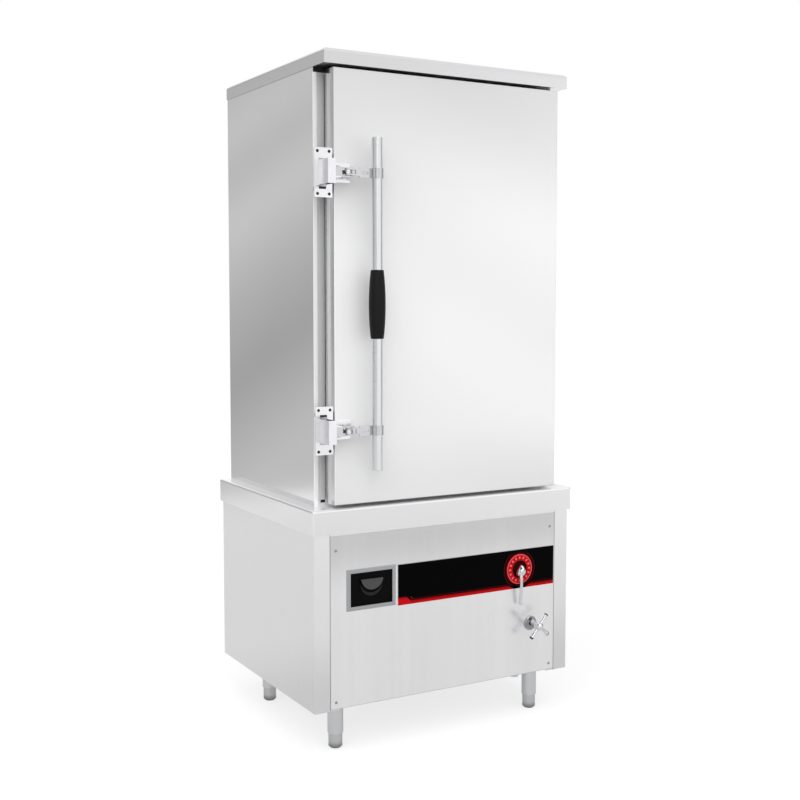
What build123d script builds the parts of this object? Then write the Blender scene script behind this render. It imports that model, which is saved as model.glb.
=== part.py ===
from build123d import *
import os

os.makedirs("parts", exist_ok=True)

# A commercial rice steamer: an insulated steaming chamber with one latched door, standing on a
# wider base cabinet that holds the water tank, the heater and the controls.
# Sizes are in millimetres. X runs to the right as seen from the front, Y runs to the back and
# Z runs up. The origin is on the floor, under the middle of the whole object.

# Driving dimensions: material and clearances
sheet = 1.5
inner_sheet = 1.2
seam = 0.5
hole_gap = 1
body_gap = 0.3
pin_clearance = 0.05

# Driving dimensions: overall and base cabinet
total_height = 1850
base_width = 824
base_depth = 644
base_clear = 122
stile_width = 46
panel_lip = 26
panel_foot_gap = 4
rail_height = 6
bend_r = 2
floor_rise = 6
floor_flange = 12
rear_flange = 20

# Driving dimensions: counter under the chamber
counter_bottom = 598
counter_height = 66
counter_overhang = 8
counter_sheet = 2
counter_edge_r = 8
counter_corner_r = 6
steam_way_inset = 102
steam_way_depth = 360

# Driving dimensions: chamber and roof cap
chamber_width = 764
chamber_setback = 60
edge_strip = 12
liner_recess = 2
wall_thickness = 52
back_wall_thickness = 52
liner_floor_rise = 20
liner_roof_drop = 25
mouth_head_gap = 12
cap_height = 39
cap_proud = 2
cap_lip = 4
cap_edge_r = 10
drain_slot_width = 14
drain_slot_height = 8

# Driving dimensions: tray racks
tray_levels = 12
top_tray_space = 110
tray_depth = 400
first_runner_rise = 46
tray_side_gap = 10
rack_stand = 16.8
runner_ledge = 22
runner_height = 20
runner_spare = 22
rack_post = 18
steam_plate_margin = 10
steam_hole_r = 10
steam_hole_columns = 10
steam_hole_rows = 6

# Driving dimensions: door
door_side_reveal = 26
door_thickness = 50
door_proud = 10
door_foot_gap = 10
door_head_gap = 8
door_edge_r = 3
door_flange = 14
plug_inset = 34
plug_height = 11
plug_corner_r = 16
gasket_width = 18
gasket_inset = 6
gasket_round = 3

# Driving dimensions: door hinges
hinge_knuckle_r = 6.5
hinge_pin_r = 3
hinge_height = 80
hinge_knuckle_length = 40
hinge_leaf = 3
hinge_side_gap = 1.5
hinge_depth = 26
hinge_end_inset = 150
hinge_foot_width = 26
knuckle_gap = 1

# Driving dimensions: handle and latches
upper_latch_drop = 268
lower_latch_rise = 198
tube_inset = 102
tube_out = 45
tube_r = 14
tube_wall = 1.5
tube_below_latch = 106
tube_above_latch = 92
cap_groove_rise = 24
sleeve_groove_rise = 67
groove_depth = 0.6
groove_width = 2
grip_r = 22
grip_end_r = 17
grip_length = 178
grip_below_middle = 4.5
grip_end_round = 2.4
pivot_inset = 20
pivot_out = 40
latch_pin_r = 4
loop_pin_r = 3
eye_wall = 3
arm_gap = 2
roller_ahead = 2
loop_pin_dx = 14
loop_pin_dy = 9
lug_half = 5
cheek_inner = 5.5
cheek_outer = 8.5
prong_inner = 9.5
prong_outer = 12
arm_half_height = 12.5
arm_thickness = 4
arm_slot_length = 20
arm_slot_height = 9
clamp_wall = 3
base_plate_width = 40
base_plate_height = 48
base_plate_thickness = 3
claw_wall = 4
claw_lip = 3.5
claw_gap = 1
neck_gap = 3
prong_half = 5

# Driving dimensions: keepers
keeper_plate_width = 51
keeper_plate_height = 126
keeper_sheet = 3
keeper_door_gap = 3
keeper_behind_face = 2
keeper_box_width = 22
keeper_box_height = 62
keeper_box_depth = 53
keeper_slot = 5
keeper_foot_height = 100
roller_r = 3.5
ear_inner = 13
ear_outer = 16
roller_from_plate_edge = 8
keeper_screw_inset = 9

# Driving dimensions: legs
leg_inset = 90
front_leg_y = 60
back_leg_y = 505
leg_r = 21.5
leg_wall = 2
leg_plug = 20
leg_plate = 58
leg_plate_thickness = 4
foot_r = 19
foot_height = 41
foot_bevel = 5
stem_r = 6
stem_length = 55

# Driving dimensions: switch recess
bezel_inset = 169
bezel_z = 441
bezel_width = 149
bezel_height = 112
bezel_border = 11
bezel_proud = 3
bezel_bevel = 1.8
switch_box_depth = 60
flap_thickness = 3
flap_set_back = 1
flap_edge_gap = 1
flap_barrel_r = 2.6
flap_pin_r = 1.3
half_moon_r = 33
half_moon_height = 29
half_moon_drop = 19
half_moon_out = 8
ridge_low_share = 1.6
ridge_high_share = 1.3
breaker_width = 54
breaker_height = 74
breaker_depth = 36
toggle_width = 40
toggle_pin_r = 2
toggle_r = 7
toggle_reach = 15
toggle_rise = 6

# Driving dimensions: control fascia and gear lever
fascia_bezel_gap = 8.5
fascia_side_gap = 3.5
fascia_bottom = 382
fascia_top = 494
fascia_thickness = 2
dial_inset = 122
dial_r = 44
dial_hole_r = 23
dial_thickness = 2
gear_body_r = 22
gear_body_depth = 44
gear_bush_r = 8
spindle_r = 4
lever_hub_r = 15
lever_hub_gap = 2
lever_hub_depth = 22
lever_hub_taper = 12
lever_hub_round = 5
lever_length = 104
lever_rod_r = 4.2
lever_tip_r = 5
lever_tip_round = 3.5

# Driving dimensions: drain valve
valve_inset = 131
valve_z = 274
valve_out = 48
escutcheon_r = 21
escutcheon_height = 5
valve_stem_r = 6
stem_hole_gap = 4
escutcheon_round = 4
valve_hub_r = 12
valve_hub_length = 18
spoke_length = 44
spoke_r = 3.6
spoke_ball_r = 5.5
spoke_turn = 50
valve_body_r = 18
valve_body_start = 26
valve_body_length = 38
valve_nut_r = 11
stem_in_body = 25
outlet_offset = 24
outlet_r = 13.2
outlet_bore_r = 10
outlet_drop = 14
outlet_thread = 10
outlet_collar = 8
outlet_collar_r = 18
pipe_r = 11
pipe_bore_r = 9.5
pipe_bend_r = 30
pipe_down_y = 300

# Driving dimensions: water tank and filling box
tank_side_gap = 87
tank_front = 130
tank_depth = 430
tank_bottom = 420
tank_flange = 14
box_inset = 40
box_width = 62
box_front = 380
box_depth = 215
box_bottom = 508
box_height = 92
box_pipe_z = 532
box_pipe_r = 8
nipple_z = 580
nipple_r = 10.4
nipple_bore_r = 6
nipple_thread = 18
nipple_out = 34
nipple_hex = 26
float_pivot_rise = 60
float_arm_r = 2
float_arm_length = 120
float_ball_r = 20
float_pin_r = 2
float_lug_width = 6
float_pivot_inset = 20
float_eye_r = 4

# Driving dimensions: heater, power module and fan
rail_section_width = 30
rail_section_height = 14
front_rail_y = 200
back_rail_y = 480
rail_top = 384
coil_tray_r = 190
coil_tray_thickness = 8
coil_r = 180
coil_hole_r = 58
coil_thickness = 12
coil_gap = 3
coil_round = 3
module_inset = 107
module_width = 180
module_front = 80
module_depth = 330
module_height = 196
fin_count = 9
fin_height = 26
fin_thickness = 3
fan_y = 520
fan_size = 120
fan_thickness = 38
fan_bore_r = 56
fan_hub_r = 19
fan_blade_r = 53
fan_blades = 7
fan_blade_chord = 26
fan_blade_pitch = 35
fan_pin_r = 3
fan_corner_r = 6
fan_spoke_width = 5
fan_spoke_height = 4
fan_rotor_gap = 2
fan_blade_thickness = 2

# Driving dimensions: back fittings
gland_inset = 82
gland_z = 200
gland_bore_r = 9
gland_r = 11.5
gland_nut_r = 16
gland_out = 30
vent_drop = 71
vent_r = 16
vent_wall = 1.5
vent_out = 24
vent_collar = 6
vent_collar_r = 21
louvre_width = 60
louvre_height = 6
louvre_rows = 6
louvre_pitch = 16
louvre_columns = 5
louvre_column_pitch = 90
floor_slot_length = 240
floor_slot_width = 12
floor_slot_rows = 5
floor_slot_pitch = 48
screw_head_r = 4
screw_head_height = 2.5
screw_shank_r = 2
screw_hole_r = 2.2
screw_length = 7
screw_head_round = 1.25
panel_screw_inset = 16.5
panel_screw_rise = 22
panel_screw_drop = 40

# Depths, measured from the front of the base cabinet and then placed so that the whole object
# is centred on the origin.
grip_reach = door_proud + tube_out + grip_r
valve_reach = valve_out + valve_hub_length / 2 + spoke_ball_r
reach_front = max(grip_reach, valve_reach)
reach_back = base_depth + nipple_out
front = (reach_front - reach_back) / 2
counter_front = front - counter_overhang
counter_back = front + base_depth + counter_overhang
chamber_front = front + chamber_setback
chamber_back = counter_back
liner_front = chamber_front + liner_recess
door_front = front - door_proud
door_back = door_front + door_thickness
cap_front = door_front - cap_lip
cap_back = chamber_back + cap_proud

# Heights and widths that follow from the values above
counter_top_z = counter_bottom + counter_height
deck_under = counter_top_z - counter_sheet
cap_bottom = total_height - cap_height
shell_top = total_height - cap_edge_r
half_base = base_width / 2
half_chamber = chamber_width / 2
half_liner = half_chamber - wall_thickness
liner_back = chamber_back - back_wall_thickness
liner_floor = counter_top_z + liner_floor_rise
liner_roof = cap_bottom - liner_roof_drop
mouth_top = cap_bottom - mouth_head_gap
door_width = chamber_width - 2 * door_side_reveal
half_door = door_width / 2
door_bottom = counter_top_z + door_foot_gap
door_top = cap_bottom - door_head_gap
floor_z = base_clear + floor_rise
rail_bottom = counter_bottom - rail_height
steam_way_width = chamber_width - 2 * steam_way_inset
rack_wall = half_liner - inner_sheet - seam
tray_width = 2 * (rack_wall - rack_stand - sheet - tray_side_gap)
rack_guide = tray_width / 2 + tray_side_gap
lowest_runner = liner_floor + first_runner_rise
tray_pitch = (liner_roof - top_tray_space - lowest_runner) / (tray_levels - 1)

# Places of the latches and the handle on the door
upper_latch_z = door_top - upper_latch_drop
lower_latch_z = door_bottom + lower_latch_rise
tube_bottom = lower_latch_z - tube_below_latch
tube_top = upper_latch_z + tube_above_latch
grip_middle_z = (lower_latch_z + upper_latch_z) / 2 - grip_below_middle
tube_x = -half_door + tube_inset
pivot_x = -half_door + pivot_inset

# Places in the base cabinet
panel_half = half_base - stile_width - seam
leg_x = half_base - leg_inset
bezel_x = -half_base + bezel_inset
fascia_left = bezel_x + bezel_width / 2 + fascia_bezel_gap
fascia_right = panel_half - fascia_side_gap
dial_x = fascia_right - dial_inset
valve_x = half_base - valve_inset
outlet_x = valve_x - outlet_offset
tank_width = base_width - 2 * tank_side_gap
box_x = half_base - box_inset
module_x = -half_base + module_inset
gland_x = -half_base + gland_inset
vent_z = cap_bottom - vent_drop
panel_screw_x = panel_half - panel_screw_inset
panel_screw_low_z = base_clear + panel_screw_rise
panel_screw_high_z = rail_bottom - panel_screw_drop


def slab(x, y, z, mode=Mode.ADD):
    """Add or cut a block that spans the pairs x, y and z, given in either order."""
    with Locations(((x[0] + x[1]) / 2, (y[0] + y[1]) / 2, (z[0] + z[1]) / 2)):
        Box(abs(x[1] - x[0]), abs(y[1] - y[0]), abs(z[1] - z[0]), mode=mode)


def facing_front(y):
    """A plane at depth y that looks to the front, with X across and Z up."""
    return Plane.XZ.offset(-y)


def facing_side(x):
    """A plane at x that looks to the right, with Y across and Z up."""
    return Plane.YZ.offset(x)


def save(piece, name):
    """Label a finished piece and write it under its name."""
    piece.part.label = name
    export_step(piece.part, f"parts/{name}.step")


# Legs: four tubes under plates, each with a plug that takes the foot's threaded stem
leg_spots = [(-leg_x, front + front_leg_y), (leg_x, front + front_leg_y),
             (-leg_x, front + back_leg_y), (leg_x, front + back_leg_y)]
leg_bottom = foot_height + body_gap
leg_top = floor_z - leg_plate_thickness

with BuildPart() as legs:
    with BuildSketch(Plane.XY.offset(leg_bottom)):
        with Locations(*leg_spots):
            Circle(leg_r)
            Circle(stem_r + pin_clearance, mode=Mode.SUBTRACT)
    extrude(amount=leg_plug)
    with BuildSketch(Plane.XY.offset(leg_bottom + leg_plug)):
        with Locations(*leg_spots):
            Circle(leg_r)
            Circle(leg_r - leg_wall, mode=Mode.SUBTRACT)
    extrude(amount=leg_top - leg_bottom - leg_plug)
    with BuildSketch(Plane.XY.offset(leg_top)):
        with Locations(*leg_spots):
            Rectangle(leg_plate, leg_plate)
    extrude(amount=leg_plate_thickness)
save(legs, "legs")

# Feet: a foot with a bevelled sole on a threaded stem, one for each leg, screwed right in
foot_names = ["foot_front_left", "foot_front_right", "foot_back_left", "foot_back_right"]
for foot_name, spot in zip(foot_names, leg_spots):
    with BuildPart() as foot:
        with BuildSketch():
            with Locations(spot):
                Circle(foot_r)
        extrude(amount=foot_height)
        chamfer(foot.edges().group_by(Axis.Z)[0], foot_bevel)
        with BuildSketch(Plane.XY.offset(foot_height)):
            with Locations(spot):
                Circle(stem_r)
        extrude(amount=stem_length)
    save(foot, foot_name)

# Base floor: a shallow pan with the fan's intake, air slots and the hole for the drain outlet
floor_half = half_base - sheet - seam
outlet_y = front + valve_body_start + valve_body_length / 2

with BuildPart() as base_floor:
    slab((-floor_half, floor_half), (front + 2 * sheet + seam, front + base_depth - 2 * (sheet + seam)),
         (floor_z, floor_z + floor_flange))
    offset(amount=-sheet, openings=base_floor.faces().sort_by(Axis.Z)[-1])
    with BuildSketch(Plane.XY.offset(floor_z)):
        with Locations((module_x, front + fan_y)):
            Circle(fan_bore_r - hole_gap)
        with Locations((outlet_x, outlet_y)):
            Circle(outlet_r + hole_gap)
        with Locations((0, front + base_depth / 2)):
            with GridLocations(0, floor_slot_pitch, 1, floor_slot_rows):
                SlotOverall(floor_slot_length, floor_slot_width)
    extrude(amount=sheet, mode=Mode.SUBTRACT)
save(base_floor, "base_floor")

# Base sides: each folds round to the front as a stile, with a lip behind the front panel
lip_inner = half_base - stile_width - panel_lip
screw_heights = [panel_screw_low_z, panel_screw_high_z]

for side, side_name in ((-1, "base_side_left"), (1, "base_side_right")):
    with BuildPart() as base_side:
        with BuildSketch(Plane.XY.offset(base_clear)):
            with Locations((side * (half_base - sheet / 2), front + base_depth / 2)):
                Rectangle(sheet, base_depth)
            with Locations((side * (half_base - stile_width / 2), front + sheet / 2)):
                Rectangle(stile_width, sheet)
            with Locations((side * (lip_inner + panel_lip / 2 + sheet / 2), front + 3 * sheet / 2)):
                Rectangle(panel_lip + sheet, sheet)
            with Locations((side * (half_base - rear_flange / 2), front + base_depth - sheet / 2)):
                Rectangle(rear_flange, sheet)
        extrude(amount=deck_under - base_clear)
        corner = base_side.edges().filter_by(Axis.Z).group_by(Axis.Y)[0].sort_by(Axis.X)
        fillet(corner[0 if side < 0 else -1], bend_r)
        with BuildSketch(facing_front(front + sheet)):
            with Locations(*[(side * panel_screw_x, z) for z in screw_heights]):
                Circle(screw_hole_r)
        extrude(amount=-sheet, mode=Mode.SUBTRACT)
    save(base_side, side_name)

# Front rail: ties the two sides together above the access panel
with BuildPart() as front_rail:
    slab((-panel_half, panel_half), (front, front + sheet), (rail_bottom, deck_under))
    lip_half = lip_inner - seam
    slab((-lip_half, lip_half), (front + sheet, front + 2 * sheet),
         (rail_bottom - panel_lip, rail_bottom + panel_lip))
save(front_rail, "front_rail")

# Front panel: the access panel, with openings for the switch box, the spindle and the stem
opening_width = bezel_width - 2 * bezel_border
opening_height = bezel_height - 2 * bezel_border
dial_z = (fascia_bottom + fascia_top) / 2
panel_screws = [(x, z) for x in (-panel_screw_x, panel_screw_x) for z in screw_heights]

with BuildPart() as front_panel:
    slab((-panel_half, panel_half), (front, front + sheet), (base_clear + panel_foot_gap, rail_bottom - seam))
    with BuildSketch(facing_front(front + sheet)):
        with Locations((bezel_x, bezel_z)):
            Rectangle(opening_width + 2 * (sheet + seam), opening_height + 2 * (sheet + seam))
        with Locations((dial_x, dial_z)):
            Circle(gear_bush_r + seam)
        with Locations((valve_x, valve_z)):
            Circle(valve_stem_r + stem_hole_gap)
        with Locations(*panel_screws):
            Circle(screw_hole_r)
    extrude(amount=sheet, mode=Mode.SUBTRACT)
save(front_panel, "front_panel")

# Base back: louvred panel with the holes for the water nipple and the cable gland
back_face = front + base_depth - sheet - seam

with BuildPart() as base_back_panel:
    slab((-floor_half, floor_half), (back_face - sheet, back_face), (base_clear + panel_foot_gap, deck_under))
    with BuildSketch(facing_front(back_face)):
        with Locations((0, gland_z + 2 * louvre_pitch)):
            with GridLocations(louvre_column_pitch, louvre_pitch, louvre_columns, louvre_rows):
                SlotOverall(louvre_width, louvre_height)
        with Locations((box_x, nipple_z)):
            Circle(nipple_r + hole_gap)
        with Locations((gland_x, gland_z)):
            Circle(gland_r + seam)
    extrude(amount=sheet, mode=Mode.SUBTRACT)
save(base_back_panel, "base_back_panel")

# Counter: folded sheet with a rounded rim and the steam way up into the chamber
counter_mid = (counter_front + counter_back) / 2
steam_way_y = (liner_front + liner_back) / 2

with BuildPart() as counter:
    with BuildSketch(Plane.XY.offset(counter_bottom)):
        with Locations((0, counter_mid)):
            RectangleRounded(base_width + 2 * counter_overhang, counter_back - counter_front,
                             counter_corner_r)
    extrude(amount=counter_height)
    fillet(counter.faces().sort_by(Axis.Z)[-1].edges(), counter_edge_r - counter_sheet)
    offset(amount=-counter_sheet, openings=counter.faces().sort_by(Axis.Z)[0])
    with BuildSketch(Plane.XY.offset(deck_under)):
        with Locations((0, steam_way_y)):
            RectangleRounded(steam_way_width, steam_way_depth, counter_corner_r)
    extrude(amount=counter_sheet, mode=Mode.SUBTRACT)
save(counter, "counter")

# Chamber sides: each folds round to the front as a narrow strip and to the back as a flange
for side, side_name in ((-1, "chamber_side_left"), (1, "chamber_side_right")):
    with BuildPart() as chamber_side:
        inner = side * (half_chamber - sheet)
        slab((side * half_chamber, inner), (chamber_front, chamber_back), (counter_top_z, shell_top))
        slab((side * half_chamber, side * (half_chamber - edge_strip)),
             (chamber_front, chamber_front + sheet), (counter_top_z, mouth_top))
        slab((side * half_chamber, side * (half_chamber - rear_flange)), (chamber_back - sheet, chamber_back),
             (counter_top_z, shell_top))
        corner = chamber_side.edges().filter_by(Axis.Z).group_by(Axis.Y)[0].sort_by(Axis.X)
        fillet(corner[0 if side < 0 else -1], bend_r)
    save(chamber_side, side_name)

with BuildPart() as chamber_back_panel:
    shell_half = half_chamber - sheet - seam
    slab((-shell_half, shell_half), (chamber_back - 2 * sheet - seam, chamber_back - sheet - seam),
         (counter_top_z, shell_top))
    with BuildSketch(facing_front(chamber_back - sheet - seam)):
        with Locations((0, vent_z)):
            Circle(vent_r + seam)
    extrude(amount=sheet, mode=Mode.SUBTRACT)
save(chamber_back_panel, "chamber_back_panel")

# Liner: the inner box, open to the front, with a throat down to the steam way and a front flange
mouth_half = half_chamber - edge_strip - seam
throat_width = steam_way_width + 2 * inner_sheet
throat_depth = steam_way_depth + 2 * inner_sheet

with BuildPart() as chamber_liner:
    slab((-half_liner, half_liner), (liner_front, liner_back), (liner_floor, liner_roof))
    offset(amount=-inner_sheet, openings=chamber_liner.faces().sort_by(Axis.Y)[0])
    with BuildSketch(facing_front(liner_front + inner_sheet)):
        with Locations((0, (counter_top_z + mouth_top) / 2)):
            Rectangle(2 * mouth_half, mouth_top - counter_top_z)
        with Locations((0, (liner_floor + liner_roof) / 2)):
            Rectangle(2 * (half_liner - inner_sheet), liner_roof - liner_floor - 2 * inner_sheet,
                      mode=Mode.SUBTRACT)
    extrude(amount=inner_sheet)
    slab((-throat_width / 2, throat_width / 2),
         (steam_way_y - throat_depth / 2, steam_way_y + throat_depth / 2),
         (counter_top_z, liner_floor + inner_sheet))
    slab((-steam_way_width / 2, steam_way_width / 2),
         (steam_way_y - steam_way_depth / 2, steam_way_y + steam_way_depth / 2),
         (counter_top_z, liner_floor + inner_sheet), mode=Mode.SUBTRACT)
    for side in (-1, 1):
        slot_x = side * (mouth_half - drain_slot_width)
        slab((slot_x - drain_slot_width / 2, slot_x + drain_slot_width / 2),
             (liner_front, liner_front + inner_sheet),
             (counter_top_z + drain_slot_height, counter_top_z + 2 * drain_slot_height), mode=Mode.SUBTRACT)
    with BuildSketch(facing_front(liner_back)):
        with Locations((0, vent_z)):
            Circle(vent_r + seam)
    extrude(amount=inner_sheet, mode=Mode.SUBTRACT)
save(chamber_liner, "chamber_liner")

# Insulation: foam that fills the walls, roof and floor round the liner
with BuildPart() as chamber_insulation:
    foam_half = half_chamber - sheet - seam
    foam_front = liner_front + inner_sheet + seam
    foam_back = chamber_back - 2 * sheet - 2 * seam
    slab((-foam_half, foam_half), (foam_front, foam_back), (counter_top_z, shell_top))
    slab((-foam_half + cap_edge_r, foam_half - cap_edge_r), (foam_front, foam_back - cap_edge_r),
         (shell_top, total_height - sheet))
    slab((-half_liner - seam, half_liner + seam), (foam_front, liner_back + seam),
         (liner_floor - seam, liner_roof + seam), mode=Mode.SUBTRACT)
    slab((-throat_width / 2 - seam, throat_width / 2 + seam),
         (steam_way_y - throat_depth / 2 - seam, steam_way_y + throat_depth / 2 + seam),
         (counter_top_z, liner_floor), mode=Mode.SUBTRACT)
    with BuildSketch(facing_front(foam_back)):
        with Locations((0, vent_z)):
            Circle(vent_r + seam)
    extrude(amount=foam_back - liner_back, mode=Mode.SUBTRACT)
save(chamber_insulation, "chamber_insulation")

# Steam plate: perforated plate that lies over the throat and spreads the steam
with BuildPart() as steam_plate:
    plate_z = liner_floor + inner_sheet
    plate_width = steam_way_width + 2 * steam_plate_margin
    plate_depth = steam_way_depth + 2 * steam_plate_margin
    with BuildSketch(Plane.XY.offset(plate_z)):
        with Locations((0, steam_way_y)):
            RectangleRounded(plate_width, plate_depth, steam_plate_margin)
            with GridLocations(steam_way_width / steam_hole_columns, steam_way_depth / steam_hole_rows,
                               steam_hole_columns, steam_hole_rows):
                Circle(steam_hole_r, mode=Mode.SUBTRACT)
    extrude(amount=sheet)
save(steam_plate, "steam_plate")

# Steam vent: a tube from the liner's back wall out through the back of the chamber
with BuildPart() as steam_vent:
    with BuildSketch(facing_front(chamber_back + vent_out)):
        with Locations((0, vent_z)):
            Circle(vent_r)
            Circle(vent_r - vent_wall, mode=Mode.SUBTRACT)
    extrude(amount=chamber_back + vent_out - liner_back + inner_sheet)
    with BuildSketch(facing_front(chamber_back - sheet - seam + vent_collar)):
        with Locations((0, vent_z)):
            Circle(vent_collar_r)
            Circle(vent_r - vent_wall, mode=Mode.SUBTRACT)
    extrude(amount=vent_collar)
save(steam_vent, "steam_vent")

# Roof cap: folded sheet with rounded edges, closed underneath where it overhangs the door
with BuildPart() as roof_cap:
    half_cap = half_chamber + cap_proud
    slab((-half_cap, half_cap), (cap_front, cap_back), (cap_bottom, total_height))
    fillet(roof_cap.faces().sort_by(Axis.Z)[-1].edges(), cap_edge_r)
    offset(amount=-sheet, openings=roof_cap.faces().sort_by(Axis.Z)[0])
    slab((-half_cap + sheet, half_cap - sheet), (cap_front + sheet, chamber_front - seam),
         (cap_bottom, cap_bottom + sheet))
save(roof_cap, "roof_cap")

# Tray racks: two posts and a ladder of angle runners on each side of the chamber
runner_heights = [lowest_runner + level * tray_pitch for level in range(tray_levels)]
post_front = steam_way_y - tray_depth / 2
post_back = steam_way_y + tray_depth / 2
runner_front = post_front - runner_spare
runner_back = post_back + runner_spare

for side, rack_name in ((-1, "rack_left"), (1, "rack_right")):
    with BuildPart() as rack:
        for post_y in (post_front, post_back - rack_post):
            slab((side * rack_wall, side * (rack_guide + sheet)), (post_y, post_y + rack_post),
                 (liner_floor + inner_sheet, runner_heights[-1] + runner_height))
        for z in runner_heights:
            slab((side * (rack_guide + sheet), side * (rack_guide - runner_ledge)),
                 (runner_front, runner_back), (z, z + sheet))
            slab((side * (rack_guide + sheet), side * rack_guide),
                 (runner_front, runner_back), (z, z + runner_height))
    save(rack, rack_name)

# Door: outer skin, insulation, inner pan with a raised plug, and the gasket round it
door_mid_z = (door_bottom + door_top) / 2
door_height = door_top - door_bottom

with BuildPart() as door_skin:
    slab((-half_door, half_door), (door_front, door_back), (door_bottom, door_top))
    fillet(door_skin.faces().sort_by(Axis.Y)[0].edges(), door_edge_r)
    offset(amount=-sheet, openings=door_skin.faces().sort_by(Axis.Y)[-1])
    with BuildSketch(facing_front(door_back)):
        with Locations((0, door_mid_z)):
            Rectangle(door_width, door_height)
            Rectangle(door_width - 2 * door_flange, door_height - 2 * door_flange, mode=Mode.SUBTRACT)
    extrude(amount=sheet)
save(door_skin, "door_skin")

with BuildPart() as door_insulation:
    clear = sheet + seam
    slab((-half_door + clear, half_door - clear), (door_front + clear, door_back - clear),
         (door_bottom + clear, door_top - clear))
    fillet(door_insulation.faces().sort_by(Axis.Y)[0].edges(), door_edge_r)
save(door_insulation, "door_insulation")

plug_half = half_door - plug_inset
with BuildPart() as door_inner_pan:
    with BuildSketch(facing_front(door_back)):
        with Locations((0, door_mid_z)):
            Rectangle(door_width - 2 * seam, door_height - 2 * seam)
    extrude(amount=-inner_sheet)
    with BuildSketch(facing_front(door_back)):
        with Locations((0, door_mid_z)):
            RectangleRounded(2 * plug_half, door_height - 2 * plug_inset, plug_corner_r)
    extrude(amount=-plug_height)
    fillet(door_inner_pan.faces().sort_by(Axis.Y)[-1].edges(), 2 * inner_sheet)
    with BuildSketch(facing_front(door_back)):
        with Locations((0, door_mid_z)):
            RectangleRounded(2 * (plug_half - inner_sheet), door_height - 2 * (plug_inset + inner_sheet),
                             plug_corner_r - inner_sheet)
    extrude(amount=-(plug_height - inner_sheet), mode=Mode.SUBTRACT)
save(door_inner_pan, "door_inner_pan")

gasket_back = liner_front - body_gap
gasket_front = door_back + inner_sheet
with BuildPart() as door_gasket:
    with BuildSketch(facing_front(gasket_front)):
        with Locations((0, door_mid_z)):
            RectangleRounded(door_width - 2 * gasket_inset, door_height - 2 * gasket_inset, gasket_width)
            RectangleRounded(door_width - 2 * (gasket_inset + gasket_width),
                             door_height - 2 * (gasket_inset + gasket_width), gasket_round,
                             mode=Mode.SUBTRACT)
    extrude(amount=-(gasket_back - gasket_front))
    fillet(door_gasket.faces().sort_by(Axis.Y)[-1].edges(), gasket_round)
save(door_gasket, "door_gasket")

# Hinges: lift-off pairs on the right, the pin fixed in the cabinet's knuckle
hinge_x = half_door + hinge_side_gap + hinge_knuckle_r
hinge_y = door_front + hinge_depth
hinge_levels = [door_bottom + hinge_end_inset, door_top - hinge_end_inset]

with BuildPart() as hinge_leaves_cabinet:
    for z in hinge_levels:
        foot_right = half_chamber - bend_r
        slab((foot_right - hinge_foot_width, foot_right), (chamber_front - hinge_leaf, chamber_front),
             (z - hinge_height / 2, z + hinge_height / 2))
        slab((hinge_x - hinge_leaf / 2, hinge_x + hinge_leaf / 2), (hinge_y, chamber_front),
             (z - hinge_knuckle_length / 2, z - knuckle_gap / 2))
    with BuildSketch(*[Plane.XY.offset(z - hinge_knuckle_length / 2) for z in hinge_levels]):
        with Locations((hinge_x, hinge_y)):
            Circle(hinge_knuckle_r)
    extrude(amount=(hinge_knuckle_length - knuckle_gap) / 2)
    with BuildSketch(*[Plane.XY.offset(z - knuckle_gap) for z in hinge_levels]):
        with Locations((hinge_x, hinge_y)):
            Circle(hinge_pin_r)
    extrude(amount=hinge_knuckle_length / 2)
save(hinge_leaves_cabinet, "hinge_leaves_cabinet")

with BuildPart() as hinge_leaves_door:
    for z in hinge_levels:
        slab((half_door, half_door + hinge_leaf), (door_front + 2 * door_edge_r, door_back - door_edge_r),
             (z - hinge_height / 2, z + hinge_height / 2))
        slab((half_door, hinge_x), (hinge_y - hinge_leaf / 2, hinge_y + hinge_leaf / 2),
             (z + knuckle_gap / 2, z + hinge_knuckle_length / 2))
        slab((half_door, hinge_x + hinge_knuckle_r), (hinge_y - hinge_knuckle_r, hinge_y + hinge_knuckle_r),
             (z - hinge_knuckle_length / 2 - knuckle_gap, z + knuckle_gap / 2), mode=Mode.SUBTRACT)
    with BuildSketch(*[Plane.XY.offset(z + knuckle_gap / 2) for z in hinge_levels]):
        with Locations((hinge_x, hinge_y)):
            Circle(hinge_knuckle_r)
    extrude(amount=(hinge_knuckle_length - knuckle_gap) / 2)
    with BuildSketch(*[Plane.XY.offset(z) for z in hinge_levels]):
        with Locations((hinge_x, hinge_y)):
            Circle(hinge_pin_r + pin_clearance)
    extrude(amount=hinge_knuckle_length, mode=Mode.SUBTRACT)
save(hinge_leaves_door, "hinge_leaves_door")

# Handle: one tube that works both latches, with end caps marked by grooves, and a rubber grip
latch_levels = [upper_latch_z, lower_latch_z]
tube_y = door_front - tube_out

with BuildPart() as handle_tube:
    with BuildSketch(Plane.XY.offset(tube_bottom)):
        with Locations((tube_x, tube_y)):
            Circle(tube_r)
    extrude(amount=tube_top - tube_bottom)
    fillet(handle_tube.edges().filter_by(GeomType.CIRCLE), tube_wall)
    groove_levels = [end + sign * rise for end, sign in ((tube_bottom, 1), (tube_top, -1))
                     for rise in (cap_groove_rise, sleeve_groove_rise)]
    with BuildSketch(*[Plane.XY.offset(z - groove_width / 2) for z in groove_levels]):
        with Locations((tube_x, tube_y)):
            Circle(tube_r)
            Circle(tube_r - groove_depth, mode=Mode.SUBTRACT)
    extrude(amount=groove_width, mode=Mode.SUBTRACT)
    with BuildSketch(Plane.XY.offset(tube_bottom + cap_groove_rise)):
        with Locations((tube_x, tube_y)):
            Circle(tube_r - tube_wall)
    extrude(amount=tube_top - tube_bottom - 2 * cap_groove_rise, mode=Mode.SUBTRACT)
save(handle_tube, "handle_tube")

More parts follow.
